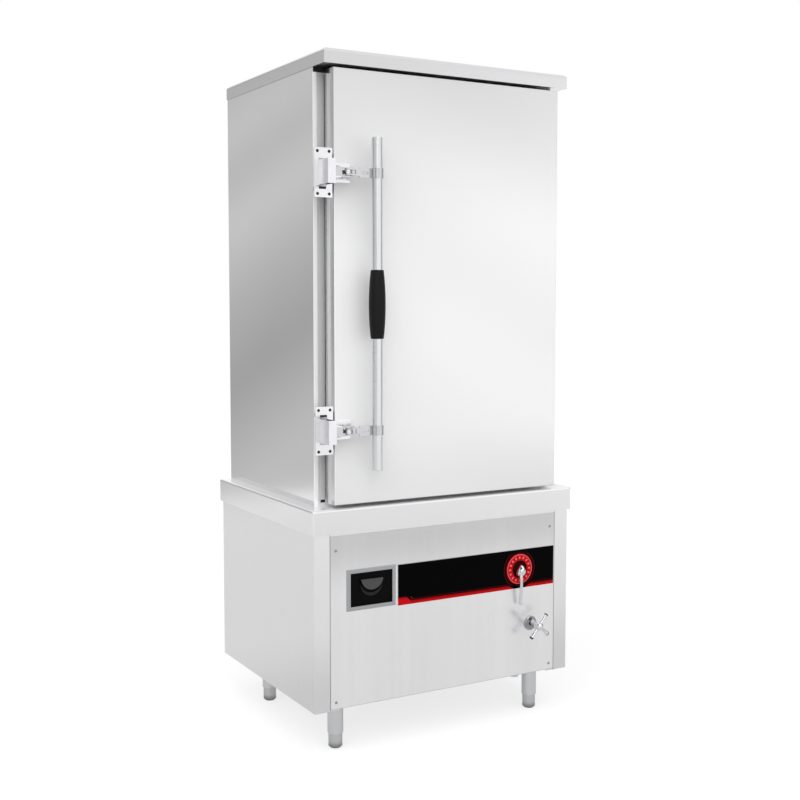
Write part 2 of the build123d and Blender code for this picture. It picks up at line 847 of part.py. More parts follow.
with BuildPart() as handle_grip:
    grip_low = grip_middle_z - grip_length / 2
    grip_high = grip_low + grip_length
    grip_bore = tube_r + pin_clearance
    with BuildSketch(Plane(origin=(tube_x, tube_y, 0), x_dir=(1, 0, 0), z_dir=(0, -1, 0))):
        with BuildLine():
            bottom_edge = Line((grip_bore, grip_low), (grip_end_r, grip_low))
            ThreePointArc((grip_end_r, grip_low), (grip_r, grip_middle_z), (grip_end_r, grip_high))
            top_edge = Line((grip_end_r, grip_high), (grip_bore, grip_high))
            Line(top_edge @ 1, bottom_edge @ 0)
        make_face()
    revolve(axis=Axis((tube_x, tube_y, 0), (0, 0, 1)))
    rims = handle_grip.edges().filter_by(GeomType.CIRCLE)
    outer_ends = rims.filter_by(lambda e: e.radius > grip_bore + seam)
    fillet(outer_ends, grip_end_round)
save(handle_grip, "handle_grip")

# Lever arms: two cheeks from the pivot, past the loop pin, to a slotted arm clamped on the tube
pivot_y = door_front - pivot_out
loop_pin_x = pivot_x + loop_pin_dx
loop_pin_y = pivot_y + loop_pin_dy
eye_r = loop_pin_r + eye_wall
arm_start = loop_pin_x + eye_r + arm_gap
arm_full = loop_pin_x + 3 * eye_r
clamp_r = tube_r + clamp_wall
slot_x = (arm_full + tube_x - clamp_r) / 2
arm_faces = (pivot_y - arm_thickness / 2, pivot_y + arm_thickness / 2)

with BuildPart() as lever_arms:
    for z in latch_levels:
        for low in (z - cheek_outer, z + cheek_inner):
            with BuildSketch(Plane.XY.offset(low)):
                with Locations((pivot_x, pivot_y)):
                    Circle(2 * latch_pin_r)
                with Locations((loop_pin_x, loop_pin_y)):
                    Circle(eye_r)
                with Locations((arm_full, pivot_y)):
                    Rectangle(2 * arm_thickness, arm_thickness)
                make_hull()
                with Locations((pivot_x, pivot_y)):
                    Circle(latch_pin_r, mode=Mode.SUBTRACT)
                with Locations((loop_pin_x, loop_pin_y)):
                    Circle(loop_pin_r, mode=Mode.SUBTRACT)
            extrude(amount=cheek_outer - cheek_inner)
        slab((arm_start, arm_full + arm_thickness), arm_faces, (z - cheek_outer, z + cheek_outer))
        slab((arm_full, tube_x), arm_faces, (z - arm_half_height, z + arm_half_height))
        with BuildSketch(facing_front(pivot_y + arm_thickness)):
            with Locations((slot_x, z)):
                SlotOverall(arm_slot_length, arm_slot_height)
        extrude(amount=2 * arm_thickness, mode=Mode.SUBTRACT)
        with BuildSketch(Plane.XY.offset(z - arm_half_height)):
            with Locations((tube_x, tube_y)):
                Circle(clamp_r)
        extrude(amount=2 * arm_half_height)
        with BuildSketch(Plane.XY.offset(z - arm_half_height)):
            with Locations((tube_x, tube_y)):
                Circle(tube_r + pin_clearance)
        extrude(amount=2 * arm_half_height, mode=Mode.SUBTRACT)
save(lever_arms, "lever_arms")

# Latch pins: the pivot pins and the loop pins, pressed into the cheeks
with BuildPart() as latch_pins:
    for z in latch_levels:
        with BuildSketch(Plane.XY.offset(z - cheek_outer)):
            with Locations((pivot_x, pivot_y)):
                Circle(latch_pin_r)
        extrude(amount=2 * cheek_outer)
        with BuildSketch(Plane.XY.offset(z - prong_outer)):
            with Locations((loop_pin_x, loop_pin_y)):
                Circle(loop_pin_r)
        extrude(amount=2 * prong_outer)
save(latch_pins, "latch_pins")

# Latch bases: a plate on the door's face with a lug that carries the pivot pin
with BuildPart() as latch_bases:
    for z in latch_levels:
        slab((pivot_x - base_plate_width / 2 + lug_half, pivot_x + base_plate_width / 2 + lug_half),
             (door_front - base_plate_thickness, door_front),
             (z - base_plate_height / 2, z + base_plate_height / 2))
        slab((pivot_x - 2 * latch_pin_r, pivot_x + 2 * latch_pin_r), (pivot_y, door_front),
             (z - lug_half, z + lug_half))
        with BuildSketch(Plane.XY.offset(z - lug_half)):
            with Locations((pivot_x, pivot_y)):
                Circle(2 * latch_pin_r)
        extrude(amount=2 * lug_half)
        with BuildSketch(Plane.XY.offset(z - lug_half)):
            with Locations((pivot_x, pivot_y)):
                Circle(latch_pin_r + pin_clearance)
        extrude(amount=2 * lug_half, mode=Mode.SUBTRACT)
save(latch_bases, "latch_bases")

# Keepers: a plate that stands level with the door's face, held off the chamber's front strip by
# a web, with a folded box and a roller between two ears beside the door
keeper_right = -half_door - keeper_door_gap
keeper_left = keeper_right - keeper_plate_width
keeper_back = door_front + keeper_behind_face + keeper_sheet
keeper_front = keeper_back - keeper_sheet
box_left = keeper_left + keeper_plate_width / 4
box_right = box_left + keeper_box_width
box_front_y = keeper_front - keeper_box_depth
roller_x = keeper_right - roller_from_plate_edge
roller_y = loop_pin_y - roller_ahead
keeper_names = ["keeper_upper", "keeper_lower"]

for z, keeper_name in zip(latch_levels, keeper_names):
    half_box = keeper_box_height / 2
    screw_rows = keeper_plate_height / 2 - keeper_screw_inset
    with BuildPart() as keeper:
        slab((keeper_left, keeper_right), (keeper_front, keeper_back),
             (z - keeper_plate_height / 2, z + keeper_plate_height / 2))
        fillet(keeper.edges().filter_by(Axis.Y), keeper_sheet)
        slab((box_left, box_right), (box_front_y, keeper_back), (z - half_box, z + half_box))
        slab((box_left + keeper_sheet, box_right - keeper_sheet), (box_front_y + keeper_sheet, keeper_back),
             (z - half_box - keeper_slot, z + half_box + keeper_slot), mode=Mode.SUBTRACT)
        slab((box_left, box_right), (keeper_front, keeper_back), (z + half_box, z + half_box + keeper_slot),
             mode=Mode.SUBTRACT)
        slab((box_left, box_right), (keeper_front, keeper_back), (z - half_box - keeper_slot, z - half_box),
             mode=Mode.SUBTRACT)
        for low, high in ((-ear_outer, -ear_inner), (ear_inner, ear_outer)):
            slab((box_right - keeper_sheet, keeper_right),
                 (roller_y - 2 * roller_from_plate_edge, keeper_front), (z + low, z + high))
        with BuildSketch(Plane.XY.offset(z - ear_inner)):
            with Locations((roller_x, roller_y)):
                Circle(roller_r)
        extrude(amount=2 * ear_inner)
        slab((keeper_right - keeper_sheet, keeper_right), (keeper_front, chamber_front),
             (z - keeper_foot_height / 2, z + keeper_foot_height / 2))
        slab((-half_chamber + bend_r, keeper_right), (chamber_front - keeper_sheet, chamber_front),
             (z - keeper_foot_height / 2, z + keeper_foot_height / 2))
        with BuildSketch(facing_front(keeper_back)):
            with Locations((keeper_left + keeper_screw_inset, z), (keeper_right - keeper_screw_inset, z)):
                with GridLocations(0, 2 * screw_rows, 1, 2):
                    Circle(screw_hole_r)
        extrude(amount=keeper_sheet, mode=Mode.SUBTRACT)
    save(keeper, keeper_name)

# Screws: alike pan-head screws that hold the front panel and the two keepers
keeper_screw_spots = [(x, z + row) for z in latch_levels
                      for x in (keeper_left + keeper_screw_inset, keeper_right - keeper_screw_inset)
                      for row in (-screw_rows, screw_rows)]
with BuildPart() as screws:
    for face_y, spots in ((front, panel_screws), (keeper_front, keeper_screw_spots)):
        with BuildSketch(facing_front(face_y)):
            with Locations(*spots):
                Circle(screw_head_r)
        extrude(amount=screw_head_height)
        with BuildSketch(facing_front(face_y)):
            with Locations(*spots):
                Circle(screw_shank_r)
        extrude(amount=-screw_length)
    head_rims = screws.edges().filter_by(GeomType.CIRCLE).filter_by(lambda e: e.radius == screw_head_r)
    fillet([rim for rim in head_rims if min(abs(rim.center().Y - y + screw_head_height)
                                            for y in (front, keeper_front)) < seam], screw_head_round)
save(screws, "screws")

# Latch loops: two prongs from the loop pin, past the pivot, to a claw that holds the roller
loop_names = ["latch_loop_upper", "latch_loop_lower"]
web_inner = roller_y - roller_r - claw_gap
web_outer = web_inner - claw_wall
lip_right = roller_x - roller_r - claw_gap
lip_left = lip_right - claw_lip
neck_x = roller_x + roller_r + neck_gap + claw_wall

for z, loop_name in zip(latch_levels, loop_names):
    with BuildPart() as latch_loop:
        for low in (z - prong_outer, z + prong_inner):
            with BuildSketch(Plane.XY.offset(low)):
                with Locations((loop_pin_x, loop_pin_y)):
                    Circle(eye_r)
                with Locations(((neck_x + loop_pin_x) / 2, loop_pin_y)):
                    Rectangle(loop_pin_x - neck_x, 2 * prong_half)
                with Locations((loop_pin_x, loop_pin_y)):
                    Circle(loop_pin_r + pin_clearance, mode=Mode.SUBTRACT)
            extrude(amount=prong_outer - prong_inner)
        slab((neck_x - claw_wall, neck_x + claw_wall), (web_outer, loop_pin_y + prong_half),
             (z - prong_outer, z + prong_outer))
        slab((lip_left, neck_x), (web_outer, web_inner), (z - prong_outer, z + prong_outer))
        slab((lip_left, lip_right), (web_outer, roller_y), (z - prong_outer, z + prong_outer))
    save(latch_loop, loop_name)

# Switch recess: silver bezel, black box behind it, hinged flap with a half-moon pull, breaker
bezel_inner_left = bezel_x - opening_width / 2
bezel_inner_top = bezel_z + opening_height / 2

flap_pin_y = front + flap_set_back + flap_thickness / 2
flap_pin_z = bezel_inner_top - flap_edge_gap - flap_barrel_r

with BuildPart() as switch_housing:
    with BuildSketch(facing_front(front)):
        with Locations((bezel_x, bezel_z)):
            Rectangle(bezel_width, bezel_height)
    extrude(amount=bezel_proud)
    chamfer(switch_housing.faces().sort_by(Axis.Y)[0].edges(), bezel_bevel)
    slab((bezel_inner_left - sheet, bezel_inner_left + opening_width + sheet),
         (front, front + switch_box_depth),
         (bezel_inner_top - opening_height - sheet, bezel_inner_top + sheet))
    slab((bezel_inner_left, bezel_inner_left + opening_width),
         (front - bezel_proud, front + switch_box_depth - sheet),
         (bezel_inner_top - opening_height, bezel_inner_top), mode=Mode.SUBTRACT)
    with BuildSketch(facing_side(bezel_inner_left - 2 * sheet)):
        with Locations((flap_pin_y, flap_pin_z)):
            Circle(flap_pin_r + pin_clearance)
    extrude(amount=opening_width + 4 * sheet, mode=Mode.SUBTRACT)
save(switch_housing, "switch_housing")

flap_left = bezel_inner_left + flap_edge_gap
flap_right = flap_left + opening_width - 2 * flap_edge_gap
flap_bottom = bezel_inner_top - opening_height + flap_edge_gap
moon_top = bezel_inner_top - half_moon_drop
with BuildPart() as switch_flap:
    slab((flap_left, flap_right), (flap_pin_y - flap_thickness / 2, flap_pin_y + flap_thickness / 2),
         (flap_bottom, flap_pin_z))
    with BuildSketch(facing_side(flap_left)):
        with Locations((flap_pin_y, flap_pin_z)):
            Circle(flap_barrel_r)
    extrude(amount=flap_right - flap_left)
    with BuildSketch(facing_side(flap_left - flap_edge_gap - sheet)):
        with Locations((flap_pin_y, flap_pin_z)):
            Circle(flap_pin_r)
    extrude(amount=opening_width + 2 * sheet)
    moon_front = flap_pin_y - flap_thickness / 2 - half_moon_out
    with BuildSketch(facing_front(moon_front + sheet)):
        with BuildLine():
            rim_left = (bezel_x - half_moon_r, moon_top)
            rim_right = (bezel_x + half_moon_r, moon_top)
            Line(rim_left, rim_right)
            ThreePointArc(rim_right, (bezel_x, moon_top - half_moon_height), rim_left)
        make_face()
    extrude(amount=sheet)
    slab((bezel_x - half_moon_r, bezel_x + half_moon_r), (moon_front, flap_pin_y),
         (moon_top - sheet, moon_top))
    with BuildSketch(facing_front(flap_pin_y)):
        with BuildLine():
            low_left = (bezel_x - half_moon_r, moon_top - half_moon_height / 2)
            low_right = (bezel_x + half_moon_r, moon_top - half_moon_height / 2)
            ThreePointArc(low_left, (bezel_x, moon_top - ridge_low_share * half_moon_height), low_right)
            ThreePointArc(low_right, (bezel_x, moon_top - ridge_high_share * half_moon_height), low_left)
        make_face()
    extrude(amount=flap_thickness / 2 + flap_thickness)
save(switch_flap, "switch_flap")

breaker_back = front + switch_box_depth - sheet
breaker_front = breaker_back - breaker_depth
toggle_y = breaker_front + toggle_r
with BuildPart() as breaker_body:
    slab((bezel_x - breaker_width / 2, bezel_x + breaker_width / 2), (breaker_front, breaker_back),
         (bezel_z - breaker_height / 2, bezel_z + breaker_height / 2))
    slab((bezel_x - toggle_width / 2 - seam, bezel_x + toggle_width / 2 + seam),
         (breaker_front, breaker_front + 2 * toggle_r + seam),
         (bezel_z - toggle_reach, bezel_z + toggle_reach), mode=Mode.SUBTRACT)
    with BuildSketch(facing_side(bezel_x - breaker_width / 2)):
        with Locations((toggle_y, bezel_z)):
            Circle(toggle_pin_r + pin_clearance)
    extrude(amount=breaker_width, mode=Mode.SUBTRACT)
save(breaker_body, "breaker_body")

with BuildPart() as breaker_toggle:
    with BuildSketch(facing_side(bezel_x - toggle_width / 2)):
        with Locations((toggle_y, bezel_z)):
            Circle(toggle_r - seam)
        with BuildLine():
            Polyline((toggle_y, bezel_z - toggle_pin_r), (toggle_y - toggle_reach, bezel_z + toggle_rise),
                     (toggle_y - toggle_reach, bezel_z + 2 * toggle_rise - toggle_pin_r),
                     (toggle_y, bezel_z + 2 * toggle_pin_r), close=True)
        make_face()
    extrude(amount=toggle_width)
    with BuildSketch(facing_side(bezel_x - breaker_width / 2)):
        with Locations((toggle_y, bezel_z)):
            Circle(toggle_pin_r)
    extrude(amount=breaker_width)
save(breaker_toggle, "breaker_toggle")

# Controls: fascia, dial ring, gear switch behind the panel, chrome lever in front
fascia_mid = (fascia_left + fascia_right) / 2
with BuildPart() as fascia_panel:
    with BuildSketch(facing_front(front)):
        with Locations((fascia_mid, dial_z)):
            Rectangle(fascia_right - fascia_left, fascia_top - fascia_bottom)
        with Locations((dial_x, dial_z)):
            Circle(gear_bush_r + seam, mode=Mode.SUBTRACT)
    extrude(amount=fascia_thickness)
save(fascia_panel, "fascia_panel")

fascia_face = front - fascia_thickness
with BuildPart() as dial_ring:
    with BuildSketch(facing_front(fascia_face)):
        with Locations((dial_x, dial_z)):
            Circle(dial_r)
            Circle(dial_hole_r, mode=Mode.SUBTRACT)
    extrude(amount=dial_thickness)
    fillet(dial_ring.faces().sort_by(Axis.Y)[0].edges(), dial_thickness / 2)
save(dial_ring, "dial_ring")

with BuildPart() as gear_switch:
    with BuildSketch(facing_front(front + sheet + gear_body_depth)):
        with Locations((dial_x, dial_z)):
            Circle(gear_body_r)
    extrude(amount=gear_body_depth)
    with BuildSketch(facing_front(front + sheet)):
        with Locations((dial_x, dial_z)):
            Circle(gear_bush_r)
    extrude(amount=sheet + fascia_thickness)
    with BuildSketch(facing_front(front + sheet + gear_body_depth)):
        with Locations((dial_x, dial_z)):
            Circle(spindle_r + pin_clearance)
    extrude(amount=gear_body_depth + 2 * sheet + fascia_thickness, mode=Mode.SUBTRACT)
save(gear_switch, "gear_switch")

lever_back = fascia_face - lever_hub_gap
with BuildPart() as gear_lever:
    with BuildSketch(facing_front(lever_back)):
        with Locations((dial_x, dial_z)):
            Circle(lever_hub_r)
    extrude(amount=lever_hub_depth, taper=lever_hub_taper)
    fillet(gear_lever.faces().sort_by(Axis.Y)[0].edges(), lever_hub_round)
    rod_y = lever_back - lever_hub_depth / 2
    with BuildSketch(Plane(origin=(dial_x, rod_y, dial_z), x_dir=(1, 0, 0), z_dir=(0, 0, -1))):
        Circle(lever_rod_r)
    tip_spot = (dial_x, rod_y, dial_z - lever_length)
    with BuildSketch(Plane(origin=tip_spot, x_dir=(1, 0, 0), z_dir=(0, 0, -1))):
        Circle(lever_tip_r)
    loft()
    fillet(gear_lever.edges().group_by(Axis.Z)[0], lever_tip_round)
    with BuildSketch(facing_front(lever_back)):
        with Locations((dial_x, dial_z)):
            Circle(spindle_r)
    extrude(amount=-(lever_hub_gap + fascia_thickness + sheet + gear_body_depth))
save(gear_lever, "gear_lever")

# Drain valve: escutcheon, four-spoke handle on its stem, and the body behind the panel
with BuildPart() as valve_escutcheon:
    with BuildSketch(facing_front(front)):
        with Locations((valve_x, valve_z)):
            Circle(escutcheon_r)
            Circle(valve_stem_r + hole_gap, mode=Mode.SUBTRACT)
    extrude(amount=escutcheon_height)
    rim = valve_escutcheon.faces().sort_by(Axis.Y)[0].edges().sort_by(SortBy.LENGTH)[-1]
    fillet(rim, escutcheon_round)
save(valve_escutcheon, "valve_escutcheon")

hub_y = front - valve_out
valve_body_front = front + valve_body_start
valve_body_back = valve_body_front + valve_body_length
with BuildPart() as valve_handle:
    with BuildSketch(facing_front(valve_body_front + stem_in_body)):
        with Locations((valve_x, valve_z)):
            Circle(valve_stem_r)
    extrude(amount=valve_body_front + stem_in_body - hub_y)
    with BuildSketch(facing_front(hub_y + valve_hub_length / 2)):
        with Locations((valve_x, valve_z)):
            Circle(valve_hub_r)
    extrude(amount=valve_hub_length)
    fillet(valve_handle.faces().sort_by(Axis.Y)[0].edges(), valve_hub_r / 2)
    with Locations(Plane(origin=(valve_x, hub_y, valve_z), x_dir=(1, 0, 0), z_dir=(0, -1, 0))):
        with PolarLocations(0, 4, start_angle=spoke_turn):
            Cylinder(spoke_r, spoke_length, rotation=(0, 90, 0),
                     align=(Align.CENTER, Align.CENTER, Align.MIN))
        with PolarLocations(spoke_length, 4, start_angle=spoke_turn):
            Sphere(spoke_ball_r)
save(valve_handle, "valve_handle")

with BuildPart() as drain_valve:
    with BuildSketch(facing_front(valve_body_back)):
        with Locations((valve_x, valve_z)):
            Circle(valve_body_r)
    extrude(amount=valve_body_length)
    with BuildSketch(facing_front(valve_body_front)):
        with Locations((valve_x, valve_z)):
            RegularPolygon(valve_nut_r, 6)
    extrude(amount=valve_body_start - sheet - 2 * seam)
    outlet_bottom = base_clear - outlet_drop
    with BuildSketch(facing_side(outlet_x)):
        with Locations((outlet_y, valve_z)):
            Circle(outlet_r)
    extrude(amount=valve_x - outlet_x)
    with BuildSketch(Plane.XY.offset(outlet_bottom)):
        with Locations((outlet_x, outlet_y)):
            Circle(outlet_r)
    extrude(amount=valve_z - outlet_bottom)
    with Locations((outlet_x, outlet_y, valve_z)):
        Sphere(outlet_r)
    with BuildSketch(Plane.XY.offset(outlet_bottom + outlet_thread)):
        with Locations((outlet_x, outlet_y)):
            RegularPolygon(outlet_collar_r, 6)
    extrude(amount=outlet_collar)
    with BuildSketch(Plane.XY.offset(outlet_bottom)):
        with Locations((outlet_x, outlet_y)):
            Circle(outlet_bore_r)
    extrude(amount=valve_z - outlet_bottom, mode=Mode.SUBTRACT)
    with BuildSketch(facing_front(valve_body_front + stem_in_body)):
        with Locations((valve_x, valve_z)):
            Circle(valve_stem_r + pin_clearance)
    extrude(amount=valve_body_length + valve_body_start, mode=Mode.SUBTRACT)
save(drain_valve, "drain_valve")

# Drain pipe: down from the tank's floor and forward to the valve
with BuildPart() as drain_pipe:
    pipe_y = front + pipe_down_y
    with BuildLine() as pipe_line:
        FilletPolyline((valve_x, pipe_y, tank_bottom + 2 * sheet), (valve_x, pipe_y, valve_z),
                       (valve_x, valve_body_back, valve_z), radius=pipe_bend_r)
    with BuildSketch(Plane(origin=pipe_line.line @ 0, z_dir=pipe_line.line % 0)):
        Circle(pipe_r)
        Circle(pipe_bore_r, mode=Mode.SUBTRACT)
    sweep()
save(drain_pipe, "drain_pipe")

# Water tank: open at the top, hung by its flange under the counter's deck
tank_low_y = front + tank_front
tank_high_y = tank_low_y + tank_depth
half_tank = tank_width / 2
with BuildPart() as water_tank:
    slab((-half_tank, half_tank), (tank_low_y, tank_high_y), (tank_bottom, deck_under - seam))
    offset(amount=-sheet, openings=water_tank.faces().sort_by(Axis.Z)[-1])
    with BuildSketch(Plane.XY.offset(deck_under - seam)):
        with Locations((0, (tank_low_y + tank_high_y) / 2)):
            Rectangle(tank_width + 2 * tank_flange, tank_depth + 2 * tank_flange)
            Rectangle(tank_width - 2 * sheet, tank_depth - 2 * sheet, mode=Mode.SUBTRACT)
    extrude(amount=-sheet)
    with BuildSketch(Plane.XY.offset(tank_bottom)):
        with Locations((valve_x, pipe_y)):
            Circle(pipe_r + seam)
    extrude(amount=sheet, mode=Mode.SUBTRACT)
    with BuildSketch(facing_side(half_tank)):
        with Locations((front + box_front + box_depth / 3, box_pipe_z)):
            Circle(box_pipe_r + seam)
    extrude(amount=-sheet, mode=Mode.SUBTRACT)
save(water_tank, "water_tank")

# Filling box: small open box beside the tank, with its own valve, float and pipe to the tank
box_low_y = front + box_front
box_high_y = box_low_y + box_depth
fill_pipe_y = box_low_y + box_depth / 3
with BuildPart() as filling_box:
    slab((box_x - box_width / 2, box_x + box_width / 2), (box_low_y, box_high_y),
         (box_bottom, box_bottom + box_height))
    offset(amount=-sheet, openings=filling_box.faces().sort_by(Axis.Z)[-1])
    with BuildSketch(facing_front(box_high_y)):
        with Locations((box_x, nipple_z)):
            Circle(nipple_r + seam)
    extrude(amount=sheet, mode=Mode.SUBTRACT)
    with BuildSketch(facing_side(half_tank - 3 * sheet)):
        with Locations((fill_pipe_y, box_pipe_z)):
            Circle(box_pipe_r)
    extrude(amount=box_x - box_width / 2 + sheet - half_tank + 3 * sheet)
    with BuildSketch(facing_side(half_tank - 3 * sheet)):
        with Locations((fill_pipe_y, box_pipe_z)):
            Circle(box_pipe_r - sheet)
    extrude(amount=box_x - half_tank, mode=Mode.SUBTRACT)
save(filling_box, "filling_box")

# Inlet valve: nipple out of the back, seat inside the box and the lug that carries the float arm
float_pivot_z = box_bottom + float_pivot_rise
float_pivot_y = box_high_y - float_pivot_inset
with BuildPart() as inlet_valve:
    nipple_end = front + reach_back
    with BuildSketch(facing_front(nipple_end)):
        with Locations((box_x, nipple_z)):
            Circle(nipple_r)
            Circle(nipple_bore_r, mode=Mode.SUBTRACT)
    extrude(amount=nipple_end - box_high_y + 3 * sheet)
    with BuildSketch(facing_front(nipple_end - nipple_thread)):
        with Locations((box_x, nipple_z)):
            RegularPolygon(nipple_hex / 2, 6)
            Circle(nipple_bore_r, mode=Mode.SUBTRACT)
    extrude(amount=nipple_end - nipple_thread - back_face - seam)
    for lug_x in (box_x - float_lug_width, box_x + float_lug_width):
        slab((lug_x - float_lug_width / 2, lug_x + float_lug_width / 2),
             (float_pivot_y - float_eye_r - hole_gap, box_high_y - 2 * sheet),
             (float_pivot_z - float_eye_r - hole_gap, nipple_z))
    with BuildSketch(facing_side(box_x - 2 * float_lug_width)):
        with Locations((float_pivot_y, float_pivot_z)):
            Circle(float_pin_r + pin_clearance)
    extrude(amount=4 * float_lug_width, mode=Mode.SUBTRACT)
save(inlet_valve, "inlet_valve")

with BuildPart() as float_arm:
    eye_half = float_lug_width / 2 - body_gap
    with BuildSketch(facing_side(box_x - eye_half)):
        with Locations((float_pivot_y, float_pivot_z)):
            Circle(float_eye_r)
    extrude(amount=2 * eye_half)
    with BuildSketch(facing_side(box_x - 3 * float_lug_width / 2)):
        with Locations((float_pivot_y, float_pivot_z)):
            Circle(float_pin_r)
    extrude(amount=3 * float_lug_width)
    with BuildSketch(facing_front(float_pivot_y)):
        with Locations((box_x, float_pivot_z)):
            Circle(float_arm_r)
    extrude(amount=float_arm_length)
    with Locations((box_x, float_pivot_y - float_arm_length, float_pivot_z)):
        Sphere(float_ball_r)
save(float_arm, "float_arm")

# Heater: a flat coil on a round tray with two rails welded under it, from side to side of the base
coil_y = front + (front_rail_y + back_rail_y) / 2
with BuildPart() as coil_tray:
    for rail_y in (front_rail_y, back_rail_y):
        slab((-half_base + sheet + seam, half_base - sheet - seam),
             (front + rail_y - rail_section_width / 2, front + rail_y + rail_section_width / 2),
             (rail_top - rail_section_height, rail_top))
    with BuildSketch(Plane.XY.offset(rail_top)):
        with Locations((0, coil_y)):
            Circle(coil_tray_r)
            Circle(coil_hole_r, mode=Mode.SUBTRACT)
    extrude(amount=coil_tray_thickness)
save(coil_tray, "coil_tray")

with BuildPart() as induction_coil:
    with BuildSketch(Plane.XY.offset(rail_top + coil_tray_thickness + coil_gap)):
        with Locations((0, coil_y)):
            Circle(coil_r)
            Circle(coil_hole_r, mode=Mode.SUBTRACT)
    extrude(amount=coil_thickness)
    fillet(induction_coil.edges(), coil_round)
save(induction_coil, "induction_coil")

# Power module: closed case with cooling fins on top, beside its fan
module_top = floor_z + sheet + module_height
with BuildPart() as power_module:
    slab((module_x - module_width / 2, module_x + module_width / 2),
         (front + module_front, front + module_front + module_depth), (floor_z + sheet, module_top))
    fin_step = (module_width - fin_thickness) / (fin_count - 1)
    for fin in range(fin_count):
        fin_x = module_x - module_width / 2 + fin * fin_step
        slab((fin_x, fin_x + fin_thickness), (front + module_front, front + module_front + module_depth),
             (module_top, module_top + fin_height))
save(power_module, "power_module")

fan_spot = (module_x, front + fan_y)
fan_bottom = floor_z + sheet
with BuildPart() as fan_frame:
    with BuildSketch(Plane.XY.offset(fan_bottom)):
        with Locations(fan_spot):
            RectangleRounded(fan_size, fan_size, fan_corner_r)
            Circle(fan_bore_r, mode=Mode.SUBTRACT)
    extrude(amount=fan_thickness)
    with BuildSketch(Plane.XY.offset(fan_bottom)):
        with Locations(fan_spot):
            Rectangle(2 * (fan_bore_r + hole_gap), fan_spoke_width)
            Rectangle(fan_spoke_width, 2 * (fan_bore_r + hole_gap))
            Circle(fan_hub_r)
    extrude(amount=fan_spoke_height)
    with BuildSketch(Plane.XY.offset(fan_bottom + fan_spoke_height)):
        with Locations(fan_spot):
            Circle(fan_pin_r)
    extrude(amount=fan_thickness - fan_spoke_height - 3 * fan_rotor_gap)
save(fan_frame, "fan_frame")

with BuildPart() as fan_rotor:
    rotor_bottom = fan_bottom + fan_spoke_height + fan_rotor_gap
    rotor_height = fan_thickness - fan_spoke_height - 4 * fan_rotor_gap
    with BuildSketch(Plane.XY.offset(rotor_bottom)):
        with Locations(fan_spot):
            Circle(fan_hub_r)
            Circle(fan_pin_r + pin_clearance, mode=Mode.SUBTRACT)
    extrude(amount=rotor_height)
    with Locations((*fan_spot, rotor_bottom + rotor_height / 2)):
        with PolarLocations((fan_hub_r + fan_blade_r) / 2, fan_blades):
            Box(fan_blade_r - fan_hub_r + fan_blade_thickness, fan_blade_chord, fan_blade_thickness,
                rotation=(fan_blade_pitch, 0, 0))
save(fan_rotor, "fan_rotor")

# Cable gland in the base's back panel
with BuildPart() as cable_gland:
    with BuildSketch(facing_front(back_face + gland_out)):
        with Locations((gland_x, gland_z)):
            Circle(gland_r)
    extrude(amount=gland_out + 4 * sheet)
    with BuildSketch(facing_front(back_face + gland_out / 2)):
        with Locations((gland_x, gland_z)):
            RegularPolygon(gland_nut_r, 6)
    extrude(amount=gland_out / 2)
    with BuildSketch(facing_front(back_face + gland_out)):
        with Locations((gland_x, gland_z)):
            Circle(gland_bore_r)
    extrude(amount=gland_out + 4 * sheet, mode=Mode.SUBTRACT)
save(cable_gland, "cable_gland")
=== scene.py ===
# %% [markdown]
# A commercial rice steamer: a tall insulated chamber of polished stainless sheet on a
# heating base, with a full-height door held by a bar handle and two claw latches. The
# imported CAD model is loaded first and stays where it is: its nodes get finishes, and a
# few pieces whose real shape is rounder or finer are made again as smooth surfaces.

# %% Load the steamer's frame
import bpy
import math
import numpy as np
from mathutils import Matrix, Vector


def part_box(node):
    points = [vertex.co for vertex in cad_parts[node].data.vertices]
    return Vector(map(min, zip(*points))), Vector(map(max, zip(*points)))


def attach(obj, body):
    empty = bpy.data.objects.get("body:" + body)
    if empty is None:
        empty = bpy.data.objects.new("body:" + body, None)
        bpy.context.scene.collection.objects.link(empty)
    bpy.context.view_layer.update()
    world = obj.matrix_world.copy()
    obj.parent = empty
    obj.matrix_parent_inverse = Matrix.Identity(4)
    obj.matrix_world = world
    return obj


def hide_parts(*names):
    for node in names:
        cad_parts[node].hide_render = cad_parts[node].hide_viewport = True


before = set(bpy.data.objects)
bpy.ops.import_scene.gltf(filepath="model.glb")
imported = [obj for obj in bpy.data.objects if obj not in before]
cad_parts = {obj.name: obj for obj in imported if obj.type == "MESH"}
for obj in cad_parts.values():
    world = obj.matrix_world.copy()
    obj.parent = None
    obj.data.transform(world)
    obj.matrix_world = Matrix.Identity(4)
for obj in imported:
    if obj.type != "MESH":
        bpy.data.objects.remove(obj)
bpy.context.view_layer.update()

MM = 0.001

# %% [markdown]
# Every finish below is a small graph of shader nodes. Writing the graph as sums and
# products is easier to read than wiring each node by hand, so one class stands for a
# node's output socket and turns + - * / into Math nodes. The alternatives are a node
# group for every formula, or painting the pattern as an image.

